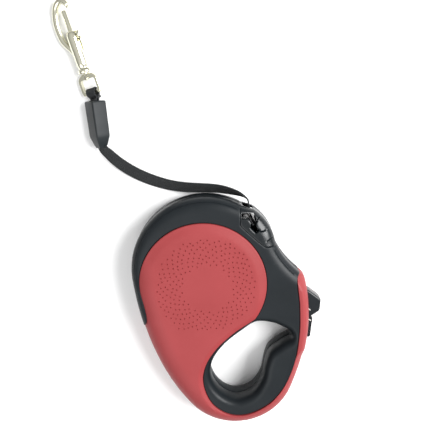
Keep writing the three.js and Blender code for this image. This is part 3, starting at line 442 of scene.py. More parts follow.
def dimple_places():
    """Small dimples in a ring on the cover's flat face: a sunflower spiral, each moved a little."""
    k = np.arange(82, 372)
    radius = 2.1 * np.sqrt(k)
    turn = k * GOLDEN_ANGLE
    places = np.stack([3.5 + radius * np.cos(turn), -2 + radius * np.sin(turn)], 1)
    places = places + np.random.default_rng(7).uniform(-0.55, 0.55, places.shape)
    clear = distance(places, COVER_EDGE, False)[0] > 8.8
    face = (np.hypot(places[:, 0], places[:, 1]) < 40.6) & (places[:, 1] > -36)
    return places[clear & face]


DIMPLES = dimple_places()
DIMPLE_RADIUS = 0.72


def dimple_rings():
    """The middle of each dimple and two rings of points round it."""
    rings = [DIMPLES]
    for radius in (0.35, DIMPLE_RADIUS):
        for turn in np.arange(0, 360, 45):
            rings.append(DIMPLES + on_circle((0, 0), radius, turn))
    return np.vstack(rings)


def nozzle_rows():
    """Rows of points that carry the groove round the front boss and the crease below it."""
    rows = [on_circle(FRONT_ROLLER, BOSS_RADIUS + off, np.arange(42, 323, 5))
            for off in (-1.6, -0.8, -0.4, 0, 0.4, 0.8, 1.6)]
    along = unit(np.array((CREASE_NORMAL[1], -CREASE_NORMAL[0])))
    for off in (-0.6, -0.3, 0, 0.3, 0.6):
        rows.append(CREASE_POINT + off * CREASE_NORMAL + np.arange(-8, 8, 0.7)[:, None] * along)
    cloud = np.vstack(rows)
    edges = ((OUTLINE, True, 0.45), (NOZZLE_EDGE, False, 1.4), (NOZZLE_OPENING, True, 1.4))
    for line, closed, gap in edges:
        cloud = cloud[distance(cloud, line, closed)[0] > gap]
    beyond = np.vstack([NOZZLE_EDGE, NOZZLE_BEYOND])
    return cloud[inside(cloud, beyond) & inside(cloud, OUTLINE)]


def plan_mesh():
    """Points and triangles of the whole body seen along the spool's axis, with every edge in it."""
    gaps = (0.22, 0.6, 1.15, 2.2, 3.2, 4.4, 6.0, 8.2, 10.8)
    lines = [(OUTLINE, True), (HOLE, True), (COVER_EDGE, False), (NOZZLE_EDGE, False),
             (NOZZLE_OPENING, True)]
    clouds = [line for line, _ in lines]
    for i, (line, closed) in enumerate(lines):
        reach = gaps if i < 3 else gaps[:3]
        if i == 0:
            reach = sorted(gaps[:4] + gaps[5:] + (SEAM - 0.3, SEAM, SEAM + 0.3))
        others = [other for k, other in enumerate(lines) if k != i]
        clouds.append(rows_beside(line, closed, reach, others))
    grid = np.stack(np.meshgrid(np.arange(-62, 92, 2.6), np.arange(-126, 72, 2.6)), -1).reshape(-1, 2)
    grid = grid + np.array([1.3, 0]) * (np.round(grid[:, 1:] / 2.6) % 2)
    clear = np.ones(len(grid), bool)
    for line, closed in lines[:3]:
        clear &= distance(grid, line, closed)[0] > 3.4
    clear &= np.array([np.hypot(*(DIMPLES - p).T).min() > 1.7 for p in grid])
    fine = nozzle_rows()
    clear &= np.array([np.hypot(*(fine - p).T).min() > 1.2 for p in grid])
    clouds += [grid[clear], dimple_rings(), screw_rings(), fine]
    edges = []
    base = 0
    for line, closed in lines:
        n = len(line)
        edges += [(base + i, base + (i + 1) % n) for i in range(n if closed else n - 1)]
        base += n
    cloud = np.vstack(clouds)
    points, _, triangles, _, _, _ = delaunay_2d_cdt([Vector(p) for p in cloud], edges, [], 0, 1e-4)
    return np.array([tuple(p) for p in points]), np.array([tuple(t) for t in triangles if len(t) == 3])


POINTS, TRIANGLES = plan_mesh()
TO_OUTLINE = distance(POINTS, OUTLINE, True)[0]
TO_HOLE = distance(POINTS, HOLE, True)[0]
TO_COVER, COVER_SEGMENT = distance(POINTS, COVER_EDGE, False)
TO_NOZZLE = distance(POINTS, NOZZLE_EDGE, False)[0]
TO_OPENING = distance(POINTS, NOZZLE_OPENING, True)[0]


def rise(gap, width):
    """A quarter of an ellipse: 0 at the edge, 1 from width inwards."""
    t = np.clip(1 - gap / width, 0, 1)
    return np.sqrt(1 - t ** 2)


def softest(a, b, blend):
    """The smaller of two heights, rounded where they cross."""
    mix = np.clip(0.5 + 0.5 * (b - a) / blend, 0, 1)
    return b * (1 - mix) + a * mix - blend * mix * (1 - mix)


def rounded_top(gap, fall, width):
    """Half height of the case where its top falls by that much to an edge, over a width beside it."""
    return (CASE_TOP - fall) + fall * rise(gap, width)


def case_heights(lower):
    """Half height of the black case, with the seams and, below, the screws' recesses."""
    z = softest(rounded_top(TO_OUTLINE, *CASE_ROUND), rounded_top(TO_HOLE, *HOLE_ROUND), 1.1)
    clear = np.clip((TO_COVER - 2) / 3, 0, 1) * np.clip((TO_NOZZLE - 1.5) / 2, 0, 1)
    z -= 0.4 * clear * np.clip(1 - np.abs(TO_OUTLINE - SEAM) / 0.3, 0, 1)
    z -= 0.8 * np.clip(1 - TO_COVER / 0.5, 0, 1)
    z -= 0.5 * np.clip(1 - TO_NOZZLE / 0.5, 0, 1)
    if lower:
        for place in SCREWS:
            z[np.hypot(*(POINTS - place).T) < SCREW_RECESS] = SCREW_FLOOR
    return z


def nozzle_heights():
    """Half height of the nozzle: sunk edges, the C-shaped groove round the boss, and the crease."""
    z = rounded_top(TO_OUTLINE, *CASE_ROUND)
    z -= 0.7 * (1 - rise(TO_NOZZLE, 0.9))
    z -= 0.9 * (1 - rise(TO_OPENING, 1.1))
    x, y = (POINTS - FRONT_ROLLER).T
    from_boss = np.abs(np.hypot(x, y) - BOSS_RADIUS)
    turned = (np.degrees(np.arctan2(y, x)) + 360) % 360
    c_shape = np.clip((turned - 45) / 40, 0, 1) * np.clip((320 - turned) / 40, 0, 1)
    z -= 1.2 * np.clip(1 - from_boss / 0.8, 0, 1) * c_shape
    crease = np.abs((POINTS - CREASE_POINT) @ CREASE_NORMAL)
    return z - 0.6 * np.clip(1 - crease / 0.6, 0, 1) * (POINTS[:, 0] > 49)


def bevel_widths():
    """Width of the sloping rim along the cover's edge: broad round the front, narrow along the grip."""
    turn = np.degrees(np.arctan2(COVER_EDGE[:, 1], COVER_EDGE[:, 0]))
    turn = np.where(turn < -90, turn + 360, turn)
    round_front = np.abs(np.hypot(COVER_EDGE[:, 0], COVER_EDGE[:, 1]) - COVER_RADIUS) < 0.5
    fade = np.clip((turn + 30) / 40, 0, 1) * np.clip((192 - turn) / 40, 0, 1)
    fade = fade * fade * (3 - 2 * fade)
    return NARROW_RIM + (WIDE_RIM - NARROW_RIM) * np.where(round_front, fade, 0)


def cover_heights():
    """Half height of the red cover: a soft dome with a sloping rim and dimples, fuller beside the slot."""
    width = bevel_widths()[COVER_SEGMENT]
    x, y = POINTS.T
    beside = np.clip((x - 60) / 8, 0, 1)
    above_foot = np.clip((y - SLOT[0] + 10) / 8, 0, 1)
    below_head = np.clip((SLOT[1] + 10 - y) / 8, 0, 1)
    by_slot = beside * above_foot * below_head
    edge = 4.0 + 5.0 * by_slot
    dome = edge + (COVER_TOP - edge) * rise(TO_OUTLINE, 19.0 - 6.0 * by_slot)
    case = rounded_top(TO_OUTLINE, *CASE_ROUND)
    slope = np.clip((TO_COVER - 1.1) / (width - 1.1), 0, 1)
    rim = case + 0.3 + 0.75 * rise(TO_COVER, 0.9) + 1.45 * slope
    z = np.minimum(softest(dome, rim, 0.3) + 0.05, COVER_TOP)
    gap = np.array([np.hypot(*(DIMPLES - p).T).min() for p in POINTS])
    return z - 0.85 * np.clip(1 - (gap / DIMPLE_RADIUS) ** 2, 0, 1) * (gap < DIMPLE_RADIUS * 0.98)


def regions():
    """Which triangles of the plan belong to the cover, to the nozzle and to the black case."""
    middle = POINTS[TRIANGLES].mean(1)
    body = inside(middle, OUTLINE) & ~inside(middle, HOLE)
    nozzle = inside(middle, np.vstack([NOZZLE_EDGE, NOZZLE_BEYOND]))
    cover = inside(middle, np.vstack([COVER_EDGE, [(120, 15), (120, -160), (-90, -160), (-90, -52)]]))
    opening = inside(middle, NOZZLE_OPENING)
    return {
        "cover": body & cover & ~nozzle,
        "nozzle": body & nozzle & ~opening,
        "case": body & ~cover & ~nozzle,
    }


REGIONS = regions()


def rim_edges(triangles):
    """Edges with the solid on their left that belong to one triangle only."""
    ways = {}
    for a, b, c in triangles:
        for edge in ((a, b), (b, c), (c, a)):
            ways[edge] = True
    return [edge for edge in ways if (edge[1], edge[0]) not in ways]


def wall_foot(index, tops):
    """Half height of a wall's foot: near the parting plane, unless an opening or the case is there."""
    x, y = POINTS[index]
    outer = TO_OUTLINE[index] < 0.05
    if outer and x > 70 and SLOT[0] < y < SLOT[1]:
        return SLOT_HALF
    if outer and MOUTH[0] < x < MOUTH[1] and y > 50:
        return MOUTH_HALF
    if TO_OPENING[index] < 0.05:
        return ROLLER_CLEAR
    if TO_COVER[index] < 0.02 and not outer:
        return tops[index] - 2.4
    return PARTING


def shell(name, region, tops, side, slot, replaces):
    """One half of a body piece: its outer surface, walls down to the parting plane, and its inside."""
    chosen = TRIANGLES[REGIONS[region]]
    x, y = POINTS[:, 0], POINTS[:, 1]
    turn = POINTS[chosen[:, 1]] - POINTS[chosen[:, 0]]
    other = POINTS[chosen[:, 2]] - POINTS[chosen[:, 0]]
    flipped = turn[:, 0] * other[:, 1] - turn[:, 1] * other[:, 0] < 0
    chosen = np.where(flipped[:, None], chosen[:, ::-1], chosen)

    used = np.unique(chosen)
    place = {old: new for new, old in enumerate(used)}
    rim = rim_edges([tuple(t) for t in chosen])
    following = dict(rim)
    leading = {b: a for a, b in rim}
    edge_gap = np.full(len(POINTS), 9.0)
    rim_points = POINTS[[a for a, _ in rim]]
    for i in used:
        edge_gap[i] = np.hypot(*(rim_points - POINTS[i]).T).min()

    points = [(x[i], y[i], tops[i]) for i in used]
    faces = [tuple(place[i] for i in t) for t in chosen]
    under = len(points)
    for i in used:
        foot = wall_foot(i, tops) if i in following else None
        if foot is None:
            foot = PARTING if edge_gap[i] < SHELL * 0.9 else tops[i] - SHELL
            if edge_gap[i] < SHELL * 0.9:
                near = rim[int(np.hypot(*(rim_points - POINTS[i]).T).argmin())][0]
                foot = max(foot, wall_foot(near, tops))
            to_roller = min(math.dist(POINTS[i], roller) for roller in (FRONT_ROLLER, REAR_ROLLER))
            if to_roller < ROLLER_RADIUS + 1.1:
                foot = max(foot, ROLLER_CLEAR)
        points.append((x[i], y[i], min(foot, tops[i] - 0.3)))
    faces += [tuple(under + place[i] for i in reversed(t)) for t in chosen]

    # Two extra rows in each wall, just above its foot, turn the edge at the parting plane inwards.
    brow = {}
    for i in following:
        tangent = POINTS[following[i]] - POINTS[leading.get(i, i)]
        inward = np.array([-tangent[1], tangent[0]]) / max(np.linalg.norm(tangent), 1e-9)
        foot = points[under + place[i]][2]
        brow[i] = len(points)
        points.append((x[i], y[i], min(foot + 0.55, tops[i] - 0.1)))
        pulled = POINTS[i] + inward * 0.32
        points[under + place[i]] = (pulled[0], pulled[1], foot)
    for a, b in rim:
        faces.append((place[b], place[a], brow[a], brow[b]))
        faces.append((brow[b], brow[a], under + place[a], under + place[b]))

    placed = [(px, py, MID + side * pz) for px, py, pz in points]
    if side < 0:
        faces = [tuple(reversed(f)) for f in faces]
    return piece(name, placed, faces, "body", slot, replaces, angle=38)


def body_shells():
    cover = cover_heights()
    nozzle = nozzle_heights()
    for side, word in ((1, "upper"), (-1, "lower")):
        case = case_heights(side < 0)
        shell(f"case_shell_{word}", "case", case, side, "case_black", [f"{word}_case"])
        shell(f"cover_{word}", "cover", cover, side, "cover_red", [f"{word}_cover"])
        insert = ["nozzle_insert"] if side > 0 else ()
        shell(f"nozzle_{word}", "nozzle", nozzle, side, "gloss_black", insert)


# ---------------- general shapes

def lathe(profile, sides, closed=False):
    """Points and faces turned about the Y axis from (radius, y) pairs. Ends at radius 0 are closed."""
    points, faces, rows = [], [], []
    for radius, y in profile:
        if radius < 1e-6:
            rows.append([len(points)] * sides)
            points.append((0, y, 0))
        else:
            rows.append(list(range(len(points), len(points) + sides)))
            for k in range(sides):
                angle = 2 * math.pi * k / sides
                points.append((radius * math.cos(angle), y, radius * math.sin(angle)))
    pairs = list(zip(rows, rows[1:])) + ([(rows[-1], rows[0])] if closed else [])
    for low, high in pairs:
        for k in range(sides):
            n = (k + 1) % sides
            face = list(dict.fromkeys([low[k], high[k], high[n], low[n]]))
            if len(face) > 2:
                faces.append(tuple(face))
    return points, faces


def upright_points(points):
    """Turns a lathe's Y axis up to Z."""
    return [(p[0], -p[2], p[1]) for p in points]


def moved(points, x, y, z):
    return [(p[0] + x, p[1] + y, p[2] + z) for p in points]


def inset(loop, amount):
    """A counter-clockwise loop with each point moved inwards."""
    before, after = np.roll(loop, 1, axis=0), np.roll(loop, -1, axis=0)
    along = after - before
    normal = np.stack([-along[:, 1], along[:, 0]], 1) / np.linalg.norm(along, axis=1)[:, None]
    return loop + normal * amount


def tube_faces(rows, count):
    """The sides of a tube whose rows of count points follow each other."""
    faces = []
    for k in range(rows - 1):
        for i in range(count):
            j = (i + 1) % count
            faces.append((k * count + i, k * count + j, (k + 1) * count + j, (k + 1) * count + i))
    return faces


def rounded_prism(loop, low, high, radius, steps=5, crown=0.0):
    """A prism over a counter-clockwise loop, with rounded edges and with ends raised by crown."""
    levels = []
    for i in range(steps + 1):
        angle = 0.5 * math.pi * i / steps
        levels.append((radius * (1 - math.sin(angle)), low + radius * (1 - math.cos(angle))))
    levels += [(gap, high - (z - low)) for gap, z in reversed(levels)]
    points = []
    count = len(loop)
    for gap, z in levels:
        points += [(p[0], p[1], z) for p in inset(loop, gap)]
    faces = tube_faces(len(levels), count)
    middle = loop.mean(0)
    for end, z, raised in ((0, low, -crown), (len(levels) - 1, high, crown)):
        hub = len(points)
        points.append((middle[0], middle[1], z + raised))
        for i in range(count):
            j = (i + 1) % count
            pair = (end * count + i, end * count + j)
            faces.append((hub, *reversed(pair)) if end == 0 else (hub, *pair))
    return points, faces


def section_sweep(centres, across, out, sections):
    """Joins closed sections, one at each centre, given as pairs along `across` and `out`."""
    points = []
    count = len(sections[0])
    for i, centre in enumerate(centres):
        for a, b in sections[i]:
            points.append(tuple(np.array(centre) + a * across[i] + b * out[i]))
    faces = [(a, d, c, b) for a, b, c, d in tube_faces(len(centres), count)]
    last = (len(centres) - 1) * count
    faces.append(tuple(range(count)))
    faces.append(tuple(last + i for i in reversed(range(count))))
    return points, faces


def frames_along(centres, sideways):
    """For each centre: the width direction squared up to the path, and the direction out of the face."""
    centres = np.array(centres, float)
    across, out = [], []
    for i in range(len(centres)):
        tangent = unit(centres[min(i + 1, len(centres) - 1)] - centres[max(i - 1, 0)])
        side = unit(sideways[i] - tangent * np.dot(sideways[i], tangent))
        across.append(side)
        out.append(np.cross(tangent, side))
    return across, out


def cut_away(obj, cutter_points, cutter_faces, sharp):
    """Cuts a helper solid out of a piece's mesh, and marks edges sharper than that angle again."""
    helper = bpy.data.objects.new("helper", mesh_of("helper", cutter_points, cutter_faces))
    bpy.context.scene.collection.objects.link(helper)
    helper.matrix_world = obj.matrix_world
    modifier = obj.modifiers.new("cut", "BOOLEAN")
    modifier.operation = "DIFFERENCE"
    modifier.solver = "EXACT"
    modifier.object = helper
    graph = bpy.context.evaluated_depsgraph_get()
    result = bpy.data.meshes.new_from_object(obj.evaluated_get(graph))
    obj.modifiers.clear()
    obj.data = result
    obj.data.set_sharp_from_angle(angle=math.radians(sharp))
    bpy.data.objects.remove(helper)


# ---------------- tape

# The free tape's middle, as in the CAD model, and how far its top edge leans over, in degrees.
FREE_TAPE = [
    (35.3, 63.8, 18.0, 0), (33.8, 66.0, 17.8, 7), (31.0, 68.0, 17.3, 15), (26.6, 69.9, 16.4, 25),
    (20.4, 71.4, 14.8, 34), (13.2, 72.4, 12.9, 40), (5.4, 72.7, 11.0, 44), (-2.8, 72.6, 9.2, 46),
    (-11.4, 72.6, 7.6, 48), (-20.0, 73.2, 6.3, 50), (-28.4, 74.6, 5.4, 52), (-36.6, 76.8, 4.9, 54),
    (-44.6, 79.6, 4.7, 56), (-52.2, 83.0, 4.8, 57), (-59.2, 87.0, 5.2, 57), (-65.4, 91.4, 5.9, 56),
    (-70.4, 95.8, 6.9, 54), (-74.0, 99.6, 7.9, 51), (-76.4, 102.2, 8.8, 47), (-78.2, 104.9, 9.5, 42)]
# The tape from the drum to the mouth.
TAPE_INSIDE = [
    (44.4, 1), (44.4, 20), (44.2, 34), (43.2, 41.4), (40.3, 46.4), (37.6, 51), (36.2, 56), (35.6, 62.4)]
SLEEVE_START = np.array((-79.0, 105.9, 9.75))
SLEEVE_END = np.array((-82.3, 140.1, 9.75))
SLEEVE_LEAN = 35
SELVEDGE = 0.45                  # width of the tape's half-round edges


def leaning(heading, degrees):
    """The tape's width direction: upright, leant over to the left of its heading."""
    lean = math.radians(degrees)
    left = unit(np.array((-heading[1], heading[0], 0.0)))
    return left * math.sin(lean) + np.array((0, 0, math.cos(lean)))


def tape_section():
    """Points across the width and out of the face, and whether each lies on the ribbed middle."""
    half, thick = TAPE_WIDTH / 2, TAPE_THICKNESS / 2
    upper = []
    for a in np.linspace(-half + SELVEDGE, half - SELVEDGE, 19):
        edge = abs(a) / half
        upper.append((a, thick * (0.84 + 0.16 * (edge > 0.8)), 1.0 if edge < 0.8 else 0.0))
    right = [(half - SELVEDGE + SELVEDGE * math.cos(t), thick * math.sin(t), 0.0)
             for t in np.linspace(1.2, -1.2, 5)]
    lower = [(a, -b, rib) for a, b, rib in reversed(upper)]
    left = [(-a, -b, rib) for a, b, rib in right]
    return upper + right + lower + left


def woven_ribbon(name, centres, sideways, replaces, widths=None):
    """A tape with cross ribs in its surface. The spacing of its rows follows the ribs."""
    line = np.array(centres, float)
    data = np.hstack([line, np.array(sideways, float)])
    lengths = np.concatenate([[0], np.cumsum(np.linalg.norm(np.diff(line, axis=0), axis=1))])
    marks = np.linspace(0, lengths[-1], int(lengths[-1] / (RIB_PITCH / 6)) + 1)
    rows = np.stack([np.interp(marks, lengths, data[:, k]) for k in range(6)], -1)
    across, out = frames_along(rows[:, :3], rows[:, 3:])
    section = tape_section()
    wide = np.ones(len(marks)) if widths is None else np.interp(marks, lengths, widths)
    points, uv = [], []
    for i, mark in enumerate(marks):
        rib = 0.5 + 0.5 * math.cos(2 * math.pi * mark / RIB_PITCH)
        for a, b, ribbed in section:
            swell = 1 - 0.24 * rib * ribbed
            points.append(tuple(rows[i, :3] + a * wide[i] * across[i] + b * swell * out[i]))
            uv.append((mark, a if b >= 0 else a + 20))
    count = len(section)
    faces = tube_faces(len(marks), count)
    last = (len(marks) - 1) * count
    faces.append(tuple(reversed(range(count))))
    faces.append(tuple(last + i for i in range(count)))
    return piece(name, points, faces, "body", "webbing", replaces, angle=50, uv=uv)


def free_tape():
    """The tape from the mouth to the sleeve, and its middle as the cord's path in metres."""
    smooth = through(FREE_TAPE, False, 14)
    heading = smooth[:-2, :3] - smooth[2:, :3]
    heading = np.vstack([heading[:1], heading, heading[-1:]])
    sideways = [leaning(h, lean) for h, lean in zip(heading, smooth[:, 3])]
    tape = woven_ribbon("tape_free", smooth[:, :3], sideways, ["free_tape"])
    return tape, smooth[::7, :3] * MM


def inner_tape():
    smooth = through([(x, y, MID) for x, y in TAPE_INSIDE], False, 14)
    return woven_ribbon("tape_inside", smooth, [(0, 0, 1)] * len(smooth), ["inner_tape"])


def wound_tape():
    """The pack of tape on the drum: a ring with the edges of its turns as fine grooves."""
    inner, outer, half = 18.3, 43.5, TAPE_WIDTH / 2
    turns = 21
    profile = []
    for i in range(turns * 2 + 1):
        radius = inner + (outer - inner) * i / (turns * 2)
        profile.append((radius, half - (0.35 if i % 2 else 0.0)))
    profile += [(r, -z) for r, z in reversed(profile)]
    points, faces = lathe(profile, 72, closed=True)
    ring = moved(upright_points(points), 0, 0, MID)
    uv = [(math.atan2(p[1], p[0]) * 40, p[2]) for p in ring]
    return piece("tape_wound", ring, faces, "spool", "webbing", ["wound_tape"], angle=60, uv=uv)


def rounded_rectangle(half_a, half_b, radius, steps=6):
    loop = []
    for ca, cb, start in ((1, 1, 0), (-1, 1, 90), (-1, -1, 180), (1, -1, 270)):
        for k in range(steps + 1):
            angle = math.radians(start + 90 * k / steps)
            loop.append((ca * (half_a - radius) + radius * math.cos(angle),
                         cb * (half_b - radius) + radius * math.sin(angle)))
    return loop


def sleeve():
    """Moulded rubber sleeve: a soft-edged box that narrows where the tape goes in."""
    axis = unit(SLEEVE_END - SLEEVE_START)
    across = leaning(-axis, SLEEVE_LEAN)
    out = np.cross(axis, across)
    length = np.linalg.norm(SLEEVE_END - SLEEVE_START)
    # How far along the sleeve, and its width and depth there as shares of the full ones.
    stations = [(-1.5, 0.54, 0.46), (0.0, 0.60, 0.55), (0.4, 0.65, 0.60), (6.6, 0.93, 0.90),
                (8.0, 0.965, 0.935), (10.0, 0.97, 0.94), (length / 2, 0.98, 0.95),
                (length - 1.2, 1.0, 0.975), (length - 0.5, 0.975, 0.94), (length - 0.1, 0.90, 0.84),
                (length, 0.82, 0.74)]
    centres = [SLEEVE_START + axis * along for along, _, _ in stations]
    sections = [rounded_rectangle(7.5 * wide, 6.0 * deep, 1.4 * min(wide, deep))
                for _, wide, deep in stations]
    points, faces = section_sweep(centres, [across] * len(centres), [out] * len(centres), sections)
    return piece("tape_sleeve_moulded", points, faces, "body", "sleeve_rubber", ["tape_sleeve"], angle=40)


# ---------------- bolt snap

# Lengths here run along the clip's own Y axis, from the swivel towards the hook's nose.
CLIP_AXIS_HEIGHT = 5.7
BOW_REACH = 10.2                 # how far the bow stands off the clip's axis
KNOB_ALONG = 28.3
EYE_END = -16.5
EYE_HALF = 1.5                   # half the thickness of the eye's plate
EYE_OPENING = -8.95              # middle of its opening
HOOK_ROLL = -math.asin((CLIP_AXIS_HEIGHT - 2.1 - 0.15) / BOW_REACH)
EYE_ROLL = math.radians(-21)


def in_clip(points, roll):
    """Points along the clip's own Y axis, rolled about it and laid where the clip lies."""
    place = Matrix.Translation((-89, 160.5, CLIP_AXIS_HEIGHT))
    turn = place @ Matrix.Rotation(math.radians(17.5), 4, "Z") @ Matrix.Rotation(roll, 4, "Y")
    return [tuple(turn @ Vector(p)) for p in points]


def clip_piece(name, points, faces, roll, body, replaces=()):
    return piece(name, in_clip(points, roll), faces, body, "chrome", replaces, angle=35)


def hook():
    """The hook's turned barrel with its bore and the slot for the bolt's knob, and the bow."""
    outer = [(2.1, 0.45), (4.9, 0.45), (5.35, 0.62), (5.55, 1.1), (5.55, 2.4), (5.3, 2.95), (4.7, 3.2),
             (4.15, 3.5), (3.95, 4.2), (4.1, 5.0), (4.45, 5.8), (4.62, 6.8), (4.62, 17.0),
             (4.75, 20.0), (4.75, 27.0), (4.6, 29.4), (4.2, 31.0), (3.6, 31.8), (3.1, 32.0)]
    bore = [(2.55, 31.7), (2.5, 31.0), (2.5, 3.6), (2.1, 3.4)]
    points, faces = lathe(outer + bore, 56, closed=True)
    barrel = clip_piece("hook_barrel", points, faces, HOOK_ROLL, "hook", ["clip_hook"])
    slot_box = [(x, y, z) for x in (0.0, 9.0) for y in (16.6, 36.0) for z in (-2.05, 2.05)]
    box_faces = [(0, 1, 3, 2), (4, 6, 7, 5), (0, 4, 5, 1), (2, 3, 7, 6), (0, 2, 6, 4), (1, 5, 7, 3)]
    cut_away(barrel, in_clip(slot_box, HOOK_ROLL), box_faces, 35)
    bow()


def bow():
    """The hook's bow: thickest halfway round, wider at its nose, and cut clear of the bolt."""
    knots = [(-2.9, 14.5), (-4.6, 18.6), (-7.0, 22.4), (-9.4, 27.2), (-BOW_REACH, 33), (-10.0, 40),
             (-8.2, 46.8), (-5.6, 51.6), (-2.4, 54.2), (1.0, 54.4), (3.4, 52.4), (4.1, 50.0), (3.9, 48.2)]
    line = through([(x, y, 0) for x, y in knots], False, 10)
    across, out = frames_along(line, [(0, 0, 1)] * len(line))
    sections = []
    for i in range(len(line)):
        t = i / (len(line) - 1)
        thick = 1.75 + 0.75 * math.sin(math.pi * t)
        wide = 2.1 if t < 0.85 else 2.1 + 0.5 * (t - 0.85) / 0.15
        end = min(1.0, 6.0 * (1 - t) + 0.35)
        sections.append([(wide * end * math.cos(a), thick * end * math.sin(a))
                         for a in np.linspace(0, 2 * math.pi, 24, endpoint=False)])
    points, faces = section_sweep(list(line), across, out, sections)
    shape = clip_piece("hook_bow", points, faces, HOOK_ROLL, "hook")
    room = [(0, 12.5), (2.3, 12.5), (2.3, 32.4), (3.15, 32.4), (3.15, 47.9), (0, 47.9)]
    clearance, clearance_faces = lathe(room, 32)
    cut_away(shape, in_clip(clearance, HOOK_ROLL), clearance_faces, 40)


def bolt():
    """The bolt: a rod with a bore for its spring, and a knob on a stem that comes out of the slot."""
    rod = [(0, 26.2), (1.4, 26.2), (1.4, 14.1), (1.5, 14.0), (1.75, 14.0), (1.98, 14.25),
           (1.98, 46.6), (1.85, 47.1), (1.5, 47.45), (0.8, 47.6), (0, 47.6)]
    points, faces = lathe(rod, 40)
    clip_piece("bolt_rod", points, faces, HOOK_ROLL, "bolt", ["clip_bolt"])
    loop = np.array(rounded_rectangle(1.55, 1.75, 0.7, 4))
    stem, stem_faces = rounded_prism(loop, 0.9, 5.4, 0.2)
    placed = [(z, KNOB_ALONG + y, x) for x, y, z in stem]
    clip_piece("bolt_stem", placed, [tuple(reversed(f)) for f in stem_faces], HOOK_ROLL, "bolt")
    oval = np.array([(2.85 * math.cos(a), 3.25 * math.sin(a))
                     for a in np.linspace(0, 2 * math.pi, 36, endpoint=False)])
    knob, knob_faces = rounded_prism(oval, 5.15, 7.2, 0.75, 5, 0.25)
    placed = [(z, KNOB_ALONG + y, x) for x, y, z in knob]
    clip_piece("bolt_knob", placed, [tuple(reversed(f)) for f in knob_faces], HOOK_ROLL, "bolt")


def eye():
    """The swivel's flat strap eye, its opening, the stud that carries the hook, and a rivet's head."""
    left = [(-3.0, -0.35), (-6.2, -1.6), (-8.1, -4.0), (-8.42, -8.0), (-8.42, -13.2), (-7.6, -15.8),
            (-5.0, -16.45)]
    right = [(-x, y) for x, y in reversed(left)]
    outline = through([*left, (0, EYE_END), *right, (0, -0.2)], True, 8)
    points, faces = rounded_prism(outline, -EYE_HALF, EYE_HALF, 0.7)
    plate = clip_piece("eye_plate", points, faces, EYE_ROLL, "body", ["clip_eye"])
    opening = np.array(rounded_rectangle(6.3, 4.55, 1.5, 5))
    cutter, cutter_faces = rounded_prism(opening, -4, 4, 0.3)
    cut_away(plate, in_clip(moved(cutter, 0, EYE_OPENING, 0), EYE_ROLL), cutter_faces, 40)
    stud = [(0, -3.2), (1.2, -3.2), (1.65, -2.6), (1.68, 3.6), (2.25, 3.9), (2.28, 4.7), (1.8, 5.0),
            (0, 5.0)]
    points, faces = lathe(stud, 32)
    clip_piece("eye_stud", points, faces, EYE_ROLL, "body")
    nub, nub_faces = lathe([(0, -1.0), (1.9, -1.0), (1.9, 0.0), (1.65, 0.42), (1.0, 0.62), (0, 0.68)], 32)
    dome = [(p[0], p[2] - 3.3, 1.35 + p[1]) for p in nub]
    clip_piece("eye_rivet", dome, nub_faces, EYE_ROLL, "body")


def tape_loop():
    """The tape round the eye's bar, down into the sleeve."""
    radius = 2 * EYE_HALF * math.sqrt(0.5) + 0.3 + TAPE_THICKNESS / 2
    bar = EYE_END + EYE_HALF
    leg = [(0.95, bar - 4.7), (1.3, bar - 3.7), (radius, bar - 1.8)]
    arc = [(radius * math.cos(a), bar + radius * math.sin(a)) for a in np.linspace(0, math.pi, 13)]
    line = leg + arc + [(-z, y) for z, y in reversed(leg)]
    placed = in_clip([(0, y, z) for z, y in line], EYE_ROLL)
    corner = np.array(in_clip([(0, 0, 0), (1, 0, 0)], EYE_ROLL))
    at_eye = unit(corner[1] - corner[0])
    axis = unit(SLEEVE_END - SLEEVE_START)
    at_sleeve = -leaning(-axis, SLEEVE_LEAN)
    if at_sleeve @ at_eye < 0:
        at_sleeve = -at_sleeve
    face = np.cross(axis, at_sleeve)
    side = 1.0 if (np.array(placed[0]) - np.array(placed[-1])) @ face > 0 else -1.0
    foot = [SLEEVE_END - axis * 4 + face * side * 0.9, SLEEVE_END + face * side * 1.0]
    other = [SLEEVE_END - face * side * 1.0, SLEEVE_END - axis * 4 - face * side * 0.9]
    knots = foot + [np.array(p) for p in placed] + other
    smooth = through(np.array(knots), False, 6)
    near = np.clip((np.linalg.norm(smooth - SLEEVE_END, axis=1) - 1.5) / 6.5, 0, 1)[:, None]
    sideways = at_eye * near + at_sleeve * (1 - near)
    widths = 0.86 - 0.2 * near[:, 0]
    return woven_ribbon("tape_round_eye", smooth, sideways, ["tape_loop"], widths)


# ---------------- brake and rollers

def smooth_outline(pairs, step=0.7):
    """A closed curve through the pairs, counter-clockwise."""
    loop = spaced(through(pairs, True, 16), step, True)
    area = (loop[:, 0] * np.roll(loop[:, 1], -1) - loop[:, 1] * np.roll(loop[:, 0], -1)).sum()
    return loop if area > 0 else loop[::-1]


def brake_button():
    """Gloss button: a rounded thumb hump over a base plate that stays inside the slot."""
    hump = smooth_outline([
        (76.2, -7.6), (80.0, -7.45), (84.0, -7.9), (88.6, -11.0), (93.2, -14.6), (94.1, -15.6),
        (94.2, -17.0), (93.9, -21.0), (93.6, -24.4), (93.0, -25.5), (90.0, -27.8), (87.4, -29.5),
        (86.0, -29.9), (83, -30), (79.5, -30), (76.2, -30)])
    points, faces = rounded_prism(hump, MID - 6.2, MID + 6.2, 1.6, 6)
    piece("button_hump", points, faces, "brake_button", "gloss_black", ["brake_button"], angle=45)
    plate = np.array([(72.5, -32.4), (76.4, -32.4), (76.4, -4.9), (72.5, -4.9)])
    points, faces = rounded_prism(spaced(plate, 1.0, True), MID - 8.2, MID + 8.2, 0.3, 3)
    piece("button_plate", points, faces, "brake_button", "gloss_black", angle=45)


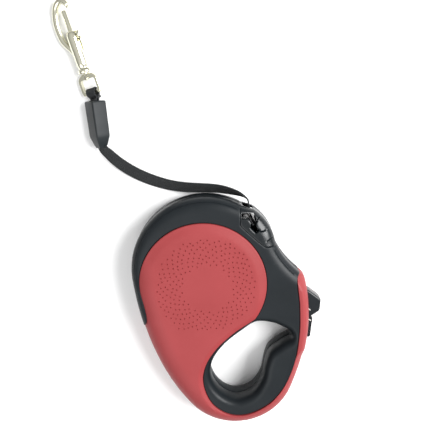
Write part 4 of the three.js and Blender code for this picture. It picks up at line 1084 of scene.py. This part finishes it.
def lock_slider():
    """Gloss lock slider: a low thumb with a straight, slightly raked back."""
    thumb = smooth_outline([
        (77.4, -31.1), (82, -31.05), (87.3, -31.1), (88.1, -31.5), (88.2, -32.4), (87.6, -38.0),
        (87.0, -45.6), (86.7, -47.5), (85.8, -48.2), (82, -47.9), (77.4, -47.5)], 0.6)
    points, faces = rounded_prism(thumb, MID - 5.5, MID + 5.5, 0.7, 4)
    piece("slider_thumb", points, faces, "lock_slider", "gloss_black", ["lock_slider"], angle=45)


def marks():
    """Two short pale strips, painted highlights standing for glints on the gloss plastic, one on the
    button's side face and one on the slider's.
    """
    for body, places, top in (("brake_button", [(83.4, -22.4), (86.0, -24.6)], 6.2),
                              ("lock_slider", [(84.0, -32.1), (86.9, -33.8)], 5.5)):
        start, end = np.array(places, float)
        along = unit(end - start)
        across = np.array((-along[1], along[0])) * 0.4
        loop = np.array([start - across, end - across, end + across, start + across])
        # a thin pale strip: a painted highlight of the glint along the gloss edge
        points, faces = rounded_prism(loop, MID + top - 0.3, MID + top + 0.12, 0.1, 2)
        piece(f"painted_highlight_{body}", points, faces, body, "acetal")


def rollers():
    """Each guide roller, and the fixed cap over its pin."""
    roller = [(1.5, -6.5), (3.1, -6.5), (3.45, -6.1), (3.45, -5.0), (3.2, -4.2), (3.2, 4.2), (3.45, 5.0),
              (3.45, 6.1), (3.1, 6.5), (1.5, 6.5)]
    cap = [(0, 0), (2.6, 0), (2.9, 0.25), (2.9, 3.1), (2.6, 3.5), (1.2, 3.75), (0, 3.8)]
    for word, (x, y) in (("front", FRONT_ROLLER), ("rear", REAR_ROLLER)):
        points, faces = lathe(roller, 40, closed=True)
        placed = moved(upright_points(points), x, y, MID)
        node = f"{word}_roller"
        piece(f"roller_{word}", placed, faces, node, "gloss_black", [node], angle=40)
        points, faces = lathe(cap, 32)
        top = moved(upright_points(points), x, y, MID + 6.9)
        piece(f"roller_cap_{word}", top, faces, "body", "gloss_black", angle=40)


# ---------------- inner pieces kept from the CAD model

def dress_cad_nodes():
    """The CAD nodes get their material, which shows on those that no piece here stands for."""
    slots = {s["node"]: s["material_slot"] for s in frame["record"]["subparts"]}
    for name, obj in frame["nodes"].items():
        obj.data.materials.clear()
        obj.data.materials.append(MATERIALS[slots[name]])


# ---------------- the scene

camera()
tape, path = free_tape()
sleeve_piece = sleeve()
loop_piece = tape_loop()
eye()
hook()
bolt()
body_shells()
inner_tape()
wound_tape()
rollers()
brake_button()
lock_slider()
# painted highlights on the button and the slider
marks()
dress_cad_nodes()

ground = bpy.data.meshes.new("floor")
ground.from_pydata([(-3, -3, 0), (3, -3, 0), (3, 3, 0), (-3, 3, 0)], [], [(0, 1, 2, 3)])
ground.materials.append(floor_material())
floor = bpy.data.objects.new("floor", ground)
floor.location = (0, 0, -0.0002)
bpy.context.scene.collection.objects.link(floor)

bpy.context.scene.view_settings.view_transform = "Standard"
world(0.75)
area_light("key", (0.9, 0.35, 1.0), 0.9, 33)
area_light("fill", (-0.5, -0.7, 1.2), 1.2, 8)
